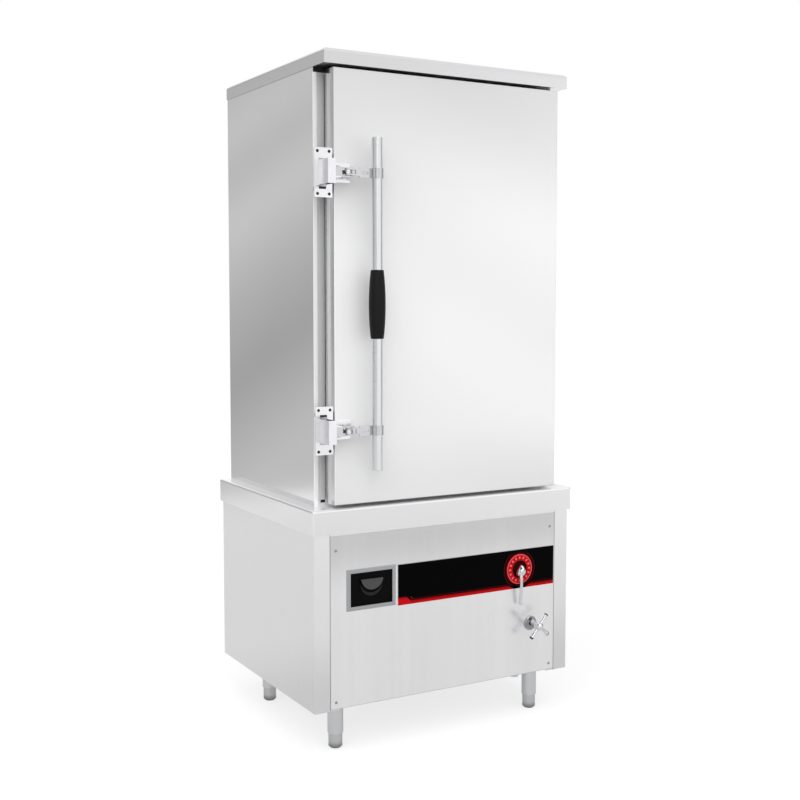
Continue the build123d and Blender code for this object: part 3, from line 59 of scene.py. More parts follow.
# %% A socket that can be added and multiplied
class Wire:
    """One output of a graph's nodes, used as a number in an expression."""

    def __init__(self, graph, socket):
        self.graph, self.socket = graph, socket

    def __add__(self, other):
        return self.graph.maths("ADD", self, other)

    def __sub__(self, other):
        return self.graph.maths("SUBTRACT", self, other)

    def __rsub__(self, other):
        return self.graph.maths("SUBTRACT", other, self)

    def __mul__(self, other):
        return self.graph.maths("MULTIPLY", self, other)

    def __truediv__(self, other):
        return self.graph.maths("DIVIDE", self, other)

    def __abs__(self):
        return self.graph.maths("ABSOLUTE", self)

    __radd__, __rmul__ = __add__, __mul__

    def rise(self, start, end):
        """Nothing before start, one after end, and a smooth step between them."""
        ramp = {"interpolation_type": "SMOOTHSTEP"}
        return self.graph.add("ShaderNodeMapRange", ramp, {0: self, 1: start, 2: end})

    def fall(self, start, end):
        """One before start, nothing after end: 1 minus the rise."""
        return 1.0 - self.rise(start, end)

    def window(self, opens, closes):
        """One between two steps: a rise times a later fall, each from its own two numbers."""
        return self.rise(*opens) * self.fall(*closes)


# %% [markdown]
# The graph itself needs one method that makes any node. The others name what the finishes
# ask for again and again: the place and facing of the surface, noise, and colours that mix
# or go darker. Colours are three numbers, and the fourth is added where a socket wants it.

# %% A graph of nodes
class Graph:
    """A node tree, and the nodes that are added to it."""

    def __init__(self, tree):
        self.tree, self.nodes = tree, tree.nodes

    def join(self, value, socket):
        """Link a wire to a socket, or set a plain value on it."""
        if isinstance(value, Wire):
            self.tree.links.new(value.socket, socket)
        else:
            socket.default_value = (*value, 1.0) if socket.type == "RGBA" else value

    def add(self, kind, settings=None, sockets=None, out=0):
        """One node: its settings first, with a ramp's stops among them, then its sockets."""
        node = self.nodes.new(kind)
        for name, value in (settings or {}).items():
            if name == "stops":
                ramp = node.color_ramp.elements
                while len(ramp) < len(value):
                    ramp.new(0.5)
                for stop, (place, colour) in zip(ramp, value):
                    stop.position, stop.color = place, (*colour, 1.0)
            else:
                setattr(node, name, value)
        for name, value in (sockets or {}).items():
            self.join(value, node.inputs[name])
        return Wire(self, node.outputs[out])

    def maths(self, operation, *values):
        """One Math node on the values, in their order."""
        return self.add("ShaderNodeMath", {"operation": operation}, dict(enumerate(values)))

    def place(self):
        """The point on the object, in metres."""
        return self.add("ShaderNodeTexCoord", out="Object")

    def axes(self, vector):
        """A vector's three numbers."""
        split = self.add("ShaderNodeSeparateXYZ", None, {0: vector})
        return [Wire(self, socket) for socket in split.socket.node.outputs]

    def where(self):
        """How far across, how deep and how high the point is."""
        return self.axes(self.place())

    def facing(self):
        """How much the surface faces right, back and up."""
        return self.axes(self.add("ShaderNodeTexCoord", out="Normal"))

    def reach(self, sideways, upwards):
        """The distance from a middle: the root of the two squares' sum."""
        flat = self.add("ShaderNodeCombineXYZ", None, {0: sideways, 1: upwards})
        return self.add("ShaderNodeVectorMath", {"operation": "LENGTH"}, {0: flat}, out="Value")

    def noise(self, stretch, detail=2.0, rough=0.5, shift=(0, 0, 0)):
        """Cloudy pattern from 0 to 1, with so many lumps to the metre along each axis."""
        stretched = {"Vector": self.place(), "Location": shift,
                     "Scale": np.broadcast_to(stretch, 3).tolist()}
        return self.add("ShaderNodeTexNoise", None,
                        {"Vector": self.add("ShaderNodeMapping", None, stretched), "Scale": 1.0,
                         "Detail": detail, "Roughness": rough})

    def between(self, amount, first, second):
        """A colour that goes from the first to the second."""
        return self.add("ShaderNodeMix", {"data_type": "RGBA"}, {0: amount, 6: first, 7: second},
                        out=2)

    def tinted(self, colour, shade):
        """One colour made darker and lighter by a number near 1."""
        level = self.add("ShaderNodeCombineXYZ", None, {0: shade, 1: shade, 2: shade})
        return self.add("ShaderNodeVectorMath", {"operation": "MULTIPLY"}, {0: level, 1: colour})


# %% A finish: one material and its graph
class Finish(Graph):
    """A material that starts with one Principled shader; fixed sockets are set on it."""

    def __init__(self, name, **fixed):
        self.material = bpy.data.materials.new(name)
        self.material.use_nodes = True
        super().__init__(self.material.node_tree)
        self.shader = self.nodes["Principled BSDF"]
        for socket, value in fixed.items():
            self.shader.inputs[socket.replace("_", " ")].default_value = value

    def feed(self, colour=None, roughness=None, relief=None, depth=0.00005, strength=0.3, **other):
        """Join the patterns to the shader; relief goes through a Bump node."""
        if colour is not None:
            self.join(colour, self.shader.inputs["Base Color"])
        if roughness is not None:
            self.join(roughness, self.shader.inputs["Roughness"])
        if relief is not None:
            bump = self.add("ShaderNodeBump", None, {"Height": relief, "Distance": depth,
                                                     "Strength": strength})
            self.join(bump, self.shader.inputs["Normal"])
        for socket, value in other.items():
            self.join(value, self.shader.inputs[socket.replace("_", " ")])
        return self


def dress(finish, *nodes):
    """Give CAD nodes a finish through their material slots."""
    for name in nodes:
        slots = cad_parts[name].data.materials
        for number in range(len(slots)):
            slots[number] = finish.material
    print(f"{finish.material.name}: {len(nodes)} nodes")


def grey(level):
    """A colour with no hue."""
    return (level, level, level)


# %% [markdown]
# Stainless sheet. The mill leaves fine lines all one way, and the press and the cloth
# leave broad soft clouds. The grain could be an anisotropic shader, but that does not
# survive an export, so it is thin stretched noise in the colour, the roughness and a
# very faint relief. On top faces the lines run across, because a line in height has
# nothing to cross there. A sheet that works out its own tone or polish asks for none
# here and feeds it afterwards.

# %% Stainless sheet, by grain and polish
LEVEL = ((5.0, 5.0, 700.0), (5.0, 700.0, 5.0))
UPRIGHT = ((700.0, 700.0, 5.0), (5.0, 700.0, 5.0))
BROAD = (3.0, 3.0, 2.2)


def stainless(name, grain, polish, tone=None, grain_depth=0.05, cloud=0.03):
    """Steel whose tone is 1 plus centred grain and clouds, rougher where a line is dark."""
    steel = Finish(name, Metallic=1.0)
    lines, top_lines = [steel.noise(stretch, 2.0, 0.6) for stretch in grain]
    grain_here = lines + abs(steel.facing()[2]).rise(0.6, 0.9) * (top_lines - lines)
    if tone is not None:
        clouds = steel.noise(BROAD, 3.0, 0.55)
        shade = 1.0 + grain_depth * (grain_here - 0.5) + cloud * (clouds - 0.5)
        steel.feed(steel.tinted(tone, shade))
    if polish is not None:
        smears = steel.noise((14.0, 14.0, 5.0), 4.0, 0.6, (3.1, 0.4, 7.7))
        steel.feed(roughness=polish + 0.10 * (0.5 - grain_here) + 0.05 * (smears - 0.5))
    return steel.feed(relief=grain_here, depth=0.00003, strength=0.25)


# %% [markdown]
# The chamber's sides are the most polished sheets, but their edges folded round to the
# front are satin and mirror little, so a mask picks the faces that look forwards and also
# paints them pale, a painted highlight. The counter's top is dulled by use, mirroring less where
# its faces look up.

# %% Chamber, cap and counter
chamber_steel = stainless("chamber steel", LEVEL, 0.13)
front_fold = chamber_steel.facing()[1].fall(-0.9, -0.6)
chamber_tone = 1.0 + 0.03 * (chamber_steel.noise(BROAD) - 0.5)
polished = chamber_steel.tinted((0.82, 0.82, 0.83), chamber_tone)
# The pale grey on the forward-looking faces is a painted highlight.
chamber_steel.feed(chamber_steel.between(front_fold, polished, grey(0.97)),
                   Metallic=1.0 - 0.85 * front_fold)
counter_steel = stainless("counter steel", LEVEL, 0.20, (0.84, 0.84, 0.85))
counter_steel.feed(Metallic=1.0 - 0.7 * counter_steel.facing()[2].rise(0.7, 0.95))
dress(chamber_steel, "chamber_side_left", "chamber_side_right", "chamber_back_panel")
dress(stainless("cap steel", LEVEL, 0.22, (0.72, 0.72, 0.73)), "roof_cap")
dress(counter_steel, "counter")

# %% [markdown]
# The base has an upright grain. A dark line is drawn where its folded sides meet the
# front panel, which is a narrow mask round the panel's edges, and the steel is darker
# low down at the front, which is a slope of height and depth.

# %% Base cabinet
PANEL_EDGE = 0.3662
JOINT_WIDTH, FRONT_ONLY, LOW_FRONT = (0.0004, 0.0012), (-0.30, -0.29), (0.05, 0.26)
base_steel = stainless("base steel", UPRIGHT, 0.30)
across, depth, height = base_steel.where()
joint_line = abs(abs(across) - PANEL_EDGE).fall(*JOINT_WIDTH) * depth.fall(*FRONT_ONLY)
low_front_darkening = (height + 0.35 * depth).fall(*LOW_FRONT)
# Darker along the joints and darker low down at the front.
base_steel.feed(base_steel.tinted((0.85, 0.85, 0.86), 1.0 - 0.45 * joint_line - 0.16 * low_front_darkening))
dress(base_steel, "base_side_left", "base_side_right", "base_back_panel", "base_floor",
      "front_rail")

# %% [markdown]
# The sheet inside is a duller grade. The liner's front rim is satin, because the door's
# gasket closes on it, and the gasket's bulb has printed a black line all round. The line
# lies where the larger of two distances from the bulb's middle line, sideways and
# upwards, is near nothing, which draws a rectangle.

# %% Liner, tank and racks
GASKET_X, GASKET_LOW, GASKET_HIGH = 340.5, 689.5, 1787.5
RIM_DEPTH, PRINT_EDGE = ((-0.2410, -0.2400), (-0.2375, -0.2355)), (0.0066, 0.0074)
gasket_middle, gasket_half = (GASKET_LOW + GASKET_HIGH) / 2, (GASKET_HIGH - GASKET_LOW) / 2
inner_steel = stainless("inner steel", LEVEL, 0.34)
across, depth, height = inner_steel.where()
mouth_rim = depth.window(*RIM_DEPTH)
from_bulb = inner_steel.maths("MAXIMUM", abs(across) - GASKET_X * MM,
                              abs(height - gasket_middle * MM) - gasket_half * MM)
gasket_print = mouth_rim * abs(from_bulb).fall(*PRINT_EDGE)
inner_tone = 1.0 + 0.08 * (inner_steel.noise(LEVEL[0], 2.0, 0.6) - 0.5)
plain_inner = inner_steel.tinted((0.78, 0.78, 0.79), inner_tone)
inner_steel.feed(inner_steel.between(gasket_print, plain_inner, grey(0.02)),
                 Metallic=1.0 - 0.8 * mouth_rim)
dress(inner_steel, "chamber_liner", "door_inner_pan", "steam_plate", "rack_left", "rack_right",
      "water_tank", "filling_box", "coil_tray", "steam_vent", "drain_pipe")

# %% [markdown]
# The handle's tube and the legs are drawn tube with a coarser grain, and the feet are
# turned. The feet are darker in the last 20 mm above the floor.

# %% Tubes and feet
LOW_DARK_HEIGHT = (0.002, 0.022)
foot_steel = stainless("foot steel", LEVEL, 0.34)
low_darkening = foot_steel.where()[2].fall(*LOW_DARK_HEIGHT)
# The feet are darker towards the bottom.
foot_steel.feed(foot_steel.tinted((0.54, 0.55, 0.56), 1.0 - 0.6 * low_darkening))
dress(stainless("satin tube", LEVEL, 0.30, (0.74, 0.75, 0.76), 0.10), "handle_tube")
dress(stainless("leg steel", LEVEL, 0.30, (0.62, 0.63, 0.64), 0.10), "legs")
dress(foot_steel, "foot_front_left", "foot_front_right", "foot_back_left", "foot_back_right")

# %% [markdown]
# The front panel is a separate sheet with an upright grain that shows much more than on
# the polished chamber: soft bands as wide as a hand run from top to bottom. They are
# noise that changes only from left to right. The panel is shaded towards the counter,
# which overhangs it, and dark along its two joints and its lower edge.

# %% Front panel with upright bands
OVERHANG_SHADE, PANEL_FOOT = (0.42, 0.58), (0.1265, 0.1285)
panel_steel = stainless("panel steel", UPRIGHT, 0.30)
wide = panel_steel.noise((9.0, 0.5, 0.6), 2.0, 0.6)
fine = panel_steel.noise((70.0, 0.5, 1.2), 2.0, 0.6)
across, depth, height = panel_steel.where()
bands = 1.0 + 0.10 * (wide - 0.5) + 0.04 * (fine - 0.5)
upper_shade = 1.0 - 0.25 * height.rise(*OVERHANG_SHADE)
seam = 1.0 - 0.45 * abs(across).rise(PANEL_EDGE - 0.0024, PANEL_EDGE - 0.0010)
lower_edge = 1.0 - 0.30 * height.fall(*PANEL_FOOT)
panel_steel.feed(panel_steel.tinted((0.85, 0.85, 0.86), bands * upper_shade * seam * lower_edge))
dress(panel_steel, "front_panel")

# %% [markdown]
# The door is one wide sheet, brushed softer than the sides, so the handle before it leaves
# no mirror image. Its colour carries faint slanting bands of painted reflection, and its top
# and foot are painted darker as painted shade: a slope of height and width gives the bands,
# and two smooth steps give the ends. The folded sides were never brushed and stay bright.

# %% Door sheet, with painted reflection bands and painted shade at top and foot
BAND_SLOPE, BAND_PITCH = 0.55, 13.0
TOP_PAINTED_SHADE, FOOT_PAINTED_SHADE = (1.35, 1.90), (0.66, 0.90)
door_steel = stainless("door steel", LEVEL, None)
folded = abs(door_steel.facing()[0]).rise(0.6, 0.9)
across, depth, height = door_steel.where()
cloud = door_steel.noise(0.9, 1.0, 0.4, (0.3, 0.2, 0.1)) - 0.5
painted_reflection_bands = door_steel.maths("SINE", (height + BAND_SLOPE * across) * BAND_PITCH)
upper = (height - 0.12 * across).rise(*TOP_PAINTED_SHADE)
lower = height.fall(*FOOT_PAINTED_SHADE)
# The slanting bands are painted reflection; the darker top and foot are painted shade.
door_tone = 1.0 - 0.22 * upper - 0.11 * lower + 0.018 * painted_reflection_bands + 0.05 * cloud
door_steel.feed(door_steel.tinted((0.92, 0.92, 0.925), door_tone * (1.0 - 0.22 * folded)),
                0.58 - 0.44 * folded + 0.06 * cloud, Metallic=0.24 + 0.76 * folded)
dress(door_steel, "door_skin")

# %% [markdown]
# The latches' bases are nickel-plated castings, duller than the sheet and slightly uneven
# from the casting, and their arms and the drain valve are a darker nickel. Pins, hinge
# leaves and the valve's flange are darker turned steel. One function makes them all, with
# a speckle for the plating and small wandering scratches that change only the roughness.

# %% Plated and turned metals
def plated(name, tone, polish, speckle, relief=0.2):
    """Metal whose tone and roughness wander with a fine speckle and with thin scratches."""
    metal = Finish(name, Metallic=1.0)
    spots = metal.noise(260.0, 3.0, 0.6)
    if tone is not None:
        patches = metal.noise(40.0)
        shade = 1.0 + speckle * (spots - 0.5) + 0.6 * speckle * (patches - 0.5)
        metal.feed(metal.tinted(tone, shade))
    scratch = abs(metal.noise((30.0, 90.0, 30.0), 1.0, 0.4) - 0.5).fall(0.0, 0.02)
    rough = polish + 0.5 * speckle * (spots - 0.5) + 0.06 * scratch
    return metal.feed(None, rough, spots, 0.00006, relief)


dress(plated("latch nickel", (0.83, 0.83, 0.85), 0.24, 0.12), "latch_bases")
dress(plated("arm nickel", (0.60, 0.60, 0.62), 0.20, 0.10), "lever_arms", "latch_loop_upper",
      "latch_loop_lower", "drain_valve")
dress(plated("pin steel", (0.36, 0.36, 0.38), 0.34, 0.25), "latch_pins", "hinge_leaves_cabinet",
      "hinge_leaves_door", "valve_escutcheon")
dress(plated("fitting brass", (0.72, 0.53, 0.27), 0.30, 0.22), "inlet_valve")
dress(plated("module aluminium", (0.66, 0.67, 0.68), 0.42, 0.22), "power_module")

# %% [markdown]
# The two keepers are pressed and nickel-plated. Their hollow insides and the slot of each
# are painted black as painted shade: two boxes in space,
# joined by taking the larger mask. The keepers stand evenly about one height, so a
# distance from it draws both slots at once.

# %% Keepers with painted shade in their hollows and slots
KEEPER_HEIGHTS = (872.0, 1535.0)
SLOT_OFFSET, SLOT_HALF, SLOT_FRONT = 0.2950, (0.0050, 0.0056), (-0.3096, -0.3092)
SLOT_X = ((-0.3976, -0.3972), (-0.3772, -0.3768))
HOLLOW_X = ((-0.3948, -0.3944), (-0.3781, -0.3777))
HOLLOW_Y = ((-0.3590, -0.3587), (-0.3090, -0.3086))
keeper_nickel = Finish("keeper nickel", Metallic=1.0)
x, y, z = keeper_nickel.where()
hollow = x.window(*HOLLOW_X) * y.window(*HOLLOW_Y)
from_slot = abs(abs(z - sum(KEEPER_HEIGHTS) / 2 * MM) - SLOT_OFFSET)
slots = from_slot.fall(*SLOT_HALF) * x.window(*SLOT_X) * y.rise(*SLOT_FRONT)
# Painted shade: the hollows and slots are painted black.
hollow_and_slot_shade = keeper_nickel.maths("MAXIMUM", hollow, slots)
plating = keeper_nickel.tinted((0.83, 0.83, 0.85), 1.0 + 0.10 * (keeper_nickel.noise(60.0) - 0.5))
keeper_nickel.feed(keeper_nickel.between(hollow_and_slot_shade, plating, (0.012, 0.012, 0.013)),
                   0.26 + 0.4 * hollow_and_slot_shade, keeper_nickel.noise(260.0, 3.0, 0.6), 0.00006, 0.08,
                   Metallic=1.0 - hollow_and_slot_shade)
dress(keeper_nickel, "keeper_upper", "keeper_lower")

# %% [markdown]
# Polished chrome is for the gear lever and the valve's handle. The handle's four round
# spoke ends mirror the dark of the room all round, which a soft studio can't give them,
# so a ring about the handle's middle is darker.

# %% Chrome with dark spoke ends
VALVE_X, VALVE_Z = 281.0, 274.0
SPOKE_ENDS = ((0.0375, 0.0385), (0.055, 0.056))
chrome = plated("knob chrome", None, 0.07, 0.05, 0.1)
x, y, z = chrome.where()
from_hub = chrome.reach(x - VALVE_X * MM, z - VALVE_Z * MM)
chrome.feed(chrome.between(from_hub.window(*SPOKE_ENDS), (0.70, 0.70, 0.72),
                           (0.10, 0.10, 0.105)))
print("chrome: dark spoke ends round", VALVE_X, VALVE_Z)

# %% [markdown]
# Black mouldings are never one flat black: a spark-eroded mould leaves a fine leather-like
# grain, and fingers polish the high spots. Voronoi cells give the grain of the handle's
# grip; the switch, breaker and fan have a finer, flatter one.

# %% Moulded blacks, rubber and the float
def moulded(name, tone, polish, cells, grain, relief, gloss=0.2):
    """Plastic with a cell grain: tops of the cells are lighter and smoother than the gaps."""
    plastic = Finish(name, Metallic=0.0, Specular_IOR_Level=gloss)
    pebble = plastic.add("ShaderNodeTexVoronoi", {"feature": "F1"},
                         {"Vector": plastic.place(), "Scale": cells})
    wear = plastic.noise((25.0, 25.0, 12.0), 3.0, 0.6)
    if tone is not None:
        shade = 1.0 + grain * (0.5 - pebble) + 0.5 * (wear - 0.5)
        plastic.feed(plastic.tinted(tone, shade))
    rough = polish + 0.25 * grain * (pebble - 0.5) + 0.12 * (0.5 - wear)
    return plastic.feed(None, rough, 1.0 - pebble, 0.0003, relief)


switch_black = moulded("switch moulding", (0.010, 0.010, 0.0105), 0.38, 900.0, 0.4, 0.25, 0.12)
gasket_rubber = moulded("gasket rubber", (0.035, 0.034, 0.033), 0.62, 500.0, 0.5, 0.4)
dress(moulded("grip moulding", (0.006, 0.006, 0.0065), 0.45, 420.0, 0.9, 0.9, 0.16), "handle_grip")
dress(switch_black, "breaker_body", "breaker_toggle", "gear_switch", "fan_frame", "cable_gland")
dress(moulded("float plastic", (0.10, 0.19, 0.36), 0.33, 700.0, 0.2, 0.15), "float_arm")

# %% [markdown]
# The foam is cream, and the edge of it that shows over the door is painted black as
# painted shade: a mask from the depth, and a little greyer round the left corner, a painted
# highlight where light falls there. The flap's half-moon finger pull stands proud of it and
# catches the light, so another mask from the depth makes what is raised a dark grey.

# %% Foam with a painted-shade edge, and the flap
FOAM_EDGE, LEFT_CORNER, PULL_DEPTH = (-0.2362, -0.2355), (-0.352, -0.345), (-0.3078, -0.2998)
foam = moulded("chamber foam", None, 0.85, 260.0, 0.35, 0.8)
across, depth, height = foam.where()
# Painted shade on the foam's front edge, with a painted highlight at the left corner.
painted_shade_edge = foam.between(across.rise(*LEFT_CORNER), grey(0.03), grey(0.004))
cream = foam.tinted((0.72, 0.64, 0.42), 1.0 + 0.2 * (foam.noise(90.0) - 0.5))
foam.feed(foam.between(depth.fall(*FOAM_EDGE), cream, painted_shade_edge))
flap_black = moulded("flap moulding", None, 0.38, 900.0, 0.4, 0.2, 0.05)
raised = flap_black.where()[1].fall(*PULL_DEPTH)
flap_black.feed(flap_black.between(raised, grey(0.002), (0.085, 0.085, 0.088)))
dress(foam, "chamber_insulation", "door_insulation")
dress(flap_black, "switch_flap")

# %% [markdown]
# The switch's housing is one moulding in two finishes: a silver-painted bevelled frame in
# front of the panel and plain black behind and inside its opening. A mask from the place
# on the piece picks between them, so no second piece is needed.

# %% Silver frame, black well
def framed(name, face_y, across_opening, up_opening):
    """Silver in front of the panel and outside the opening's box; black everywhere else."""
    shell = Finish(name, Specular_IOR_Level=0.08)
    x, y, z = shell.where()

    def inside(wire, low, high):
        return wire.window((low - 0.0004, low + 0.0002), (high - 0.0002, high + 0.0004))

    silver = y.fall(face_y, face_y + 0.0004) * (1.0 - inside(x, *across_opening)
                                                * inside(z, *up_opening))
    fleck = shell.noise(900.0, 2.0, 0.6)
    rough = 0.42 - 0.22 * silver + 0.08 * (fleck - 0.5)
    return shell.feed(shell.between(silver, grey(0.003), (0.42, 0.43, 0.44)), rough, fleck,
                      0.00002, 0.2, Metallic=silver * 0.9)


dress(framed("switch frame", -0.3008, (-0.3065, -0.1795), (0.396, 0.486)), "switch_housing")

# %% [markdown]
# The fascia is glossy black film printed on its back. A red stripe runs along the bottom:
# deep at the left end, cut off by a diagonal, then thin, with a fine line along the cut
# and another above the thin part, and it stops short of a black bulge round the dial.
# The red is brighter low down, and a faint arc and halo lie round the dial. Each edge is
# a smooth step on a straight line or a circle, which stays sharp at any size; the film's
# own gloss is the shader's, with a faint orange-peel relief.

# %% Fascia film
DIAL_X, DIAL_Z = 0.240, 0.438
EDGE = 0.0006
DEEP_TOP, THIN_TOP, DIAGONAL = 0.4035, 0.3925, 0.2685
CUT_LINE, CUT_LINE_TOP, PARALLEL_LINE, PARALLEL_START = 0.2805, 0.4020, 0.3960, -0.115
RED_GLOW, BULGE = (0.3845, 0.3915), 0.0585
ARC, ARC_GAP, HALO = 0.0525, (0.020, 0.034), (0.044, 0.054)


def below(wire, limit):
    """One under the limit, nothing over it, with a soft printed edge."""
    return wire.fall(limit - EDGE, limit + EDGE)


film = Finish("fascia film", Specular_IOR_Level=0.025)
x, y, z = film.where()
slope = x + z
deep = below(z, DEEP_TOP) * below(slope, DIAGONAL)
cut_line = (below(abs(slope - CUT_LINE), 0.0011) * below(z, CUT_LINE_TOP)
            * (1.0 - below(z, THIN_TOP + 0.002)))
parallel = below(abs(z - PARALLEL_LINE), 0.0005) * (1.0 - below(x, PARALLEL_START))
from_dial = film.reach(x - DIAL_X, z - DIAL_Z)
clear_of_dial = 1.0 - below(from_dial, BULGE)
stripe = film.maths("MAXIMUM", deep, below(z, THIN_TOP)) * clear_of_dial
glow = stripe * (0.45 + 0.55 * (z - 0.012 * deep).fall(*RED_GLOW))
arc = below(abs(from_dial - ARC), 0.0008) * abs(x - DIAL_X).rise(*ARC_GAP)
halo = 0.05 * from_dial.fall(*HALO)
lines = 0.75 * cut_line + 0.22 * parallel * clear_of_dial + 0.22 * arc + halo
red_amount = film.maths("MINIMUM", glow + lines, 1.0)
dust = film.noise(160.0, 3.0, 0.6)
film.feed(film.between(red_amount, (0.0012, 0.0010, 0.0010), (0.60, 0.006, 0.010)),
          0.08 + 0.08 * dust, dust, 0.00002, 0.15)
dress(film, "fascia_panel")

# %% [markdown]
# The dial is a red ring with a pale rim and sixteen pale marks, one for each setting. In
# polar terms a mark is a spot at a fixed radius whose angle, times the number of marks,
# comes round to a whole turn; so one cosine draws them all.

# %% Dial ring with its marks
MARKS = 16.0
MARK_RADIUS, RIM_RADIUS, INNER_RADIUS = 0.0335, 0.0418, 0.0252
dial = Finish("dial film", Specular_IOR_Level=0.06)
x, y, z = dial.where()
across, up = x - DIAL_X, z - DIAL_Z
radius = dial.reach(across, up)
beat = dial.maths("COSINE", dial.maths("ARCTAN2", across, up) * MARKS)
mark = beat.rise(0.15, 0.75) * below(abs(radius - MARK_RADIUS), 0.0034)
rim = below(abs(radius - RIM_RADIUS), 0.0012)
pale = dial.maths("MAXIMUM", mark, 0.75 * rim)
red = dial.between(below(radius, INNER_RADIUS), (0.55, 0.004, 0.010), (0.004, 0.003, 0.004))
speck = dial.noise(400.0)
dial.feed(dial.between(pale * 0.85, red, (0.92, 0.20, 0.20)), 0.12 + 0.10 * speck, speck,
          0.00002, 0.1)
dress(dial, "dial_ring")

# %% [markdown]
# From here on come the pieces made again as smooth surfaces. All are grids of points:
# rings of points follow one another along the piece, quads join each ring to the next,
# and a fan closes each end. Modelling tools could do the same by hand; a formula keeps
# the shape tied to the sizes it must fit.

# %% Rings of points to a closed skin
def skin(rings):
    """Points, quads and end fans of rings[i, j]: point j of ring i, each ring closed."""
    count, around = rings.shape[:2]
    ends = np.stack([rings[0].mean(0), rings[-1].mean(0)])
    points = np.concatenate([rings.reshape(-1, 3), ends])
    i, j = np.meshgrid(np.arange(count - 1) * around, np.arange(around), indexing="ij")
    k = (j + 1) % around
    quads = np.stack([i + j, i + k, i + around + k, i + around + j], -1).reshape(-1, 4)
    j, k, last = j[0], k[0], (count - 1) * around
    first_fan = np.stack([np.full(around, count * around), k, j], -1)
    last_fan = np.stack([np.full(around, count * around + 1), last + j, last + k], -1)
    return points, quads.tolist() + np.concatenate([first_fan, last_fan]).tolist()


def full_turn(points):
    """So many angles, evenly round a circle."""
    return np.linspace(0, 2 * math.pi, points, endpoint=False)


def round_end(s, start):
    """One up to the start, then a quarter circle down to nearly nothing at 1."""
    fallen = np.clip((s - start) / (1 - start), 0, 1)
    return np.maximum(np.sqrt(1 - fallen ** 2), 0.02)


def along(path, sections):
    """Rings carried along a path: each section's two numbers go sideways and upwards of it."""
    path = np.asarray(path, float)
    ahead = np.gradient(path, axis=0)
    ahead /= np.linalg.norm(ahead, axis=1, keepdims=True)
    guide = np.where(np.abs(ahead[:, [1]]) > 0.9, [[1.0, 0.0, 0.0]], [[0.0, 1.0, 0.0]])
    side = np.cross(guide, ahead)
    side /= np.linalg.norm(side, axis=1, keepdims=True)
    upward = np.cross(ahead, side)
    return path[:, None] + sections[..., :1] * side[:, None] + sections[..., 1:] * upward[:, None]


def circles(radii, sides):
    """One circle for each radius: its sections are the radius times the cosine and sine."""
    turn = full_turn(sides)
    return np.asarray(radii, float)[:, None, None] * np.stack([np.cos(turn), np.sin(turn)], -1)


# %% [markdown]
# A made piece joins its shells into one mesh that rides on a body and, where it stands for
# a CAD node, replaces it. Edges sharper than 38 degrees stay sharp; the rest is smooth.

# %% Shells to a piece
def piece(name, shells, finish, body, slot, *stands_for):
    """Join shells (points and faces, in millimetres) into one object that rides on a body."""
    points, faces, start = [], [], 0
    for shell_points, shell_faces in shells:
        points.append(shell_points * MM)
        faces += [[start + v for v in face] for face in shell_faces]
        start += len(shell_points)
    mesh = bpy.data.meshes.new(name)
    mesh.from_pydata(np.concatenate(points).tolist(), [], faces)
    mesh.polygons.foreach_set("use_smooth", [True] * len(mesh.polygons))
    mesh.set_sharp_from_angle(angle=math.radians(38))
    mesh.materials.append(finish.material)
    made = bpy.data.objects.new(name, mesh)
    bpy.context.scene.collection.objects.link(made)
    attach(made, body)
    if stands_for:
        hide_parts(*stands_for)
    print(f"{name}: {len(faces)} faces")
    return made


def box_mm(box):
    """A box's low and high corners in millimetres."""
    return [np.array(corner) / MM for corner in box]


# %% [markdown]
# Screws. Each is a low dome with a cross cut into it. The dome's radius and height follow
# a quarter of an oval, and the cross lowers the points near two lines through the middle;
# the shank behind goes into the sheet. The panel's four are bright, and the eight on the
# latch keepers have gone dark with age, so they are two pieces with two finishes.

# %% Screw heads
HEAD_RADIUS, HEAD_HEIGHT, SHANK_RADIUS, SHANK_LENGTH = 4.0, 1.6, 1.6, 6.0
CROSS_HALF, CROSS_WIDTH, CROSS_DEPTH = 2.5, 0.55, 0.9


def screw_head(x, y_face, z, turned):
    """Rings shrink as cos(t) while they stand proud as sin(t); the cross dips 0.9 mm."""
    t = np.linspace(0, math.pi / 2, 12)[:, None]
    turn = full_turn(48)[None]
    reach = HEAD_RADIUS * np.cos(t) + 0 * turn
    flat_x, flat_z = reach * np.cos(turn), reach * np.sin(turn)
    proud = HEAD_HEIGHT * np.sin(t) ** 0.8 + 0 * turn
    a = np.cos(turned) * flat_x + np.sin(turned) * flat_z
    b = np.cos(turned) * flat_z - np.sin(turned) * flat_x
    cross = np.maximum(np.exp(-(a / CROSS_WIDTH) ** 4) * (np.abs(b) < CROSS_HALF),
                       np.exp(-(b / CROSS_WIDTH) ** 4) * (np.abs(a) < CROSS_HALF))
    dome = np.stack([x + flat_x, y_face - proud + CROSS_DEPTH * cross, z + flat_z], -1)
    shank_y = y_face + np.array([[SHANK_LENGTH], [0.0]]) + 0 * turn
    shank = np.stack([x + SHANK_RADIUS * np.cos(turn) + 0 * shank_y, shank_y,
                      z + SHANK_RADIUS * np.sin(turn) + 0 * shank_y], -1)
    return skin(np.concatenate([shank, dome]))


panel_screws = [screw_head(x, -300.5, z, 0.2 + 0.01 * z)
                for x in (-349.0, 349.0) for z in (144.0, 552.0)]
keeper_screws = [screw_head(x, -308.5, middle + up, 0.1 * up)
                 for middle in KEEPER_HEIGHTS for up in (-54.0, 54.0) for x in (-401.0, -368.0)]
screw_bright = plated("panel screw steel", (0.36, 0.36, 0.37), 0.34, 0.15)
screw_dark = plated("keeper screw steel", (0.045, 0.045, 0.05), 0.38, 0.30)
piece("panel_screw_heads", panel_screws, screw_bright, "cabinet", "screw_steel")
piece("keeper_screw_heads", keeper_screws, screw_dark, "cabinet", "screw_steel", "screws")

# %% [markdown]
# The gear lever is one chromed casting: an egg-shaped boss, pointed at the top, over the
# switch's spindle, and a slim rod that leaves it, bows slightly forward and ends round.
# The boss is a stack of egg outlines that shrink as they stand proud; the rod is a circle
# carried along a bowed line.

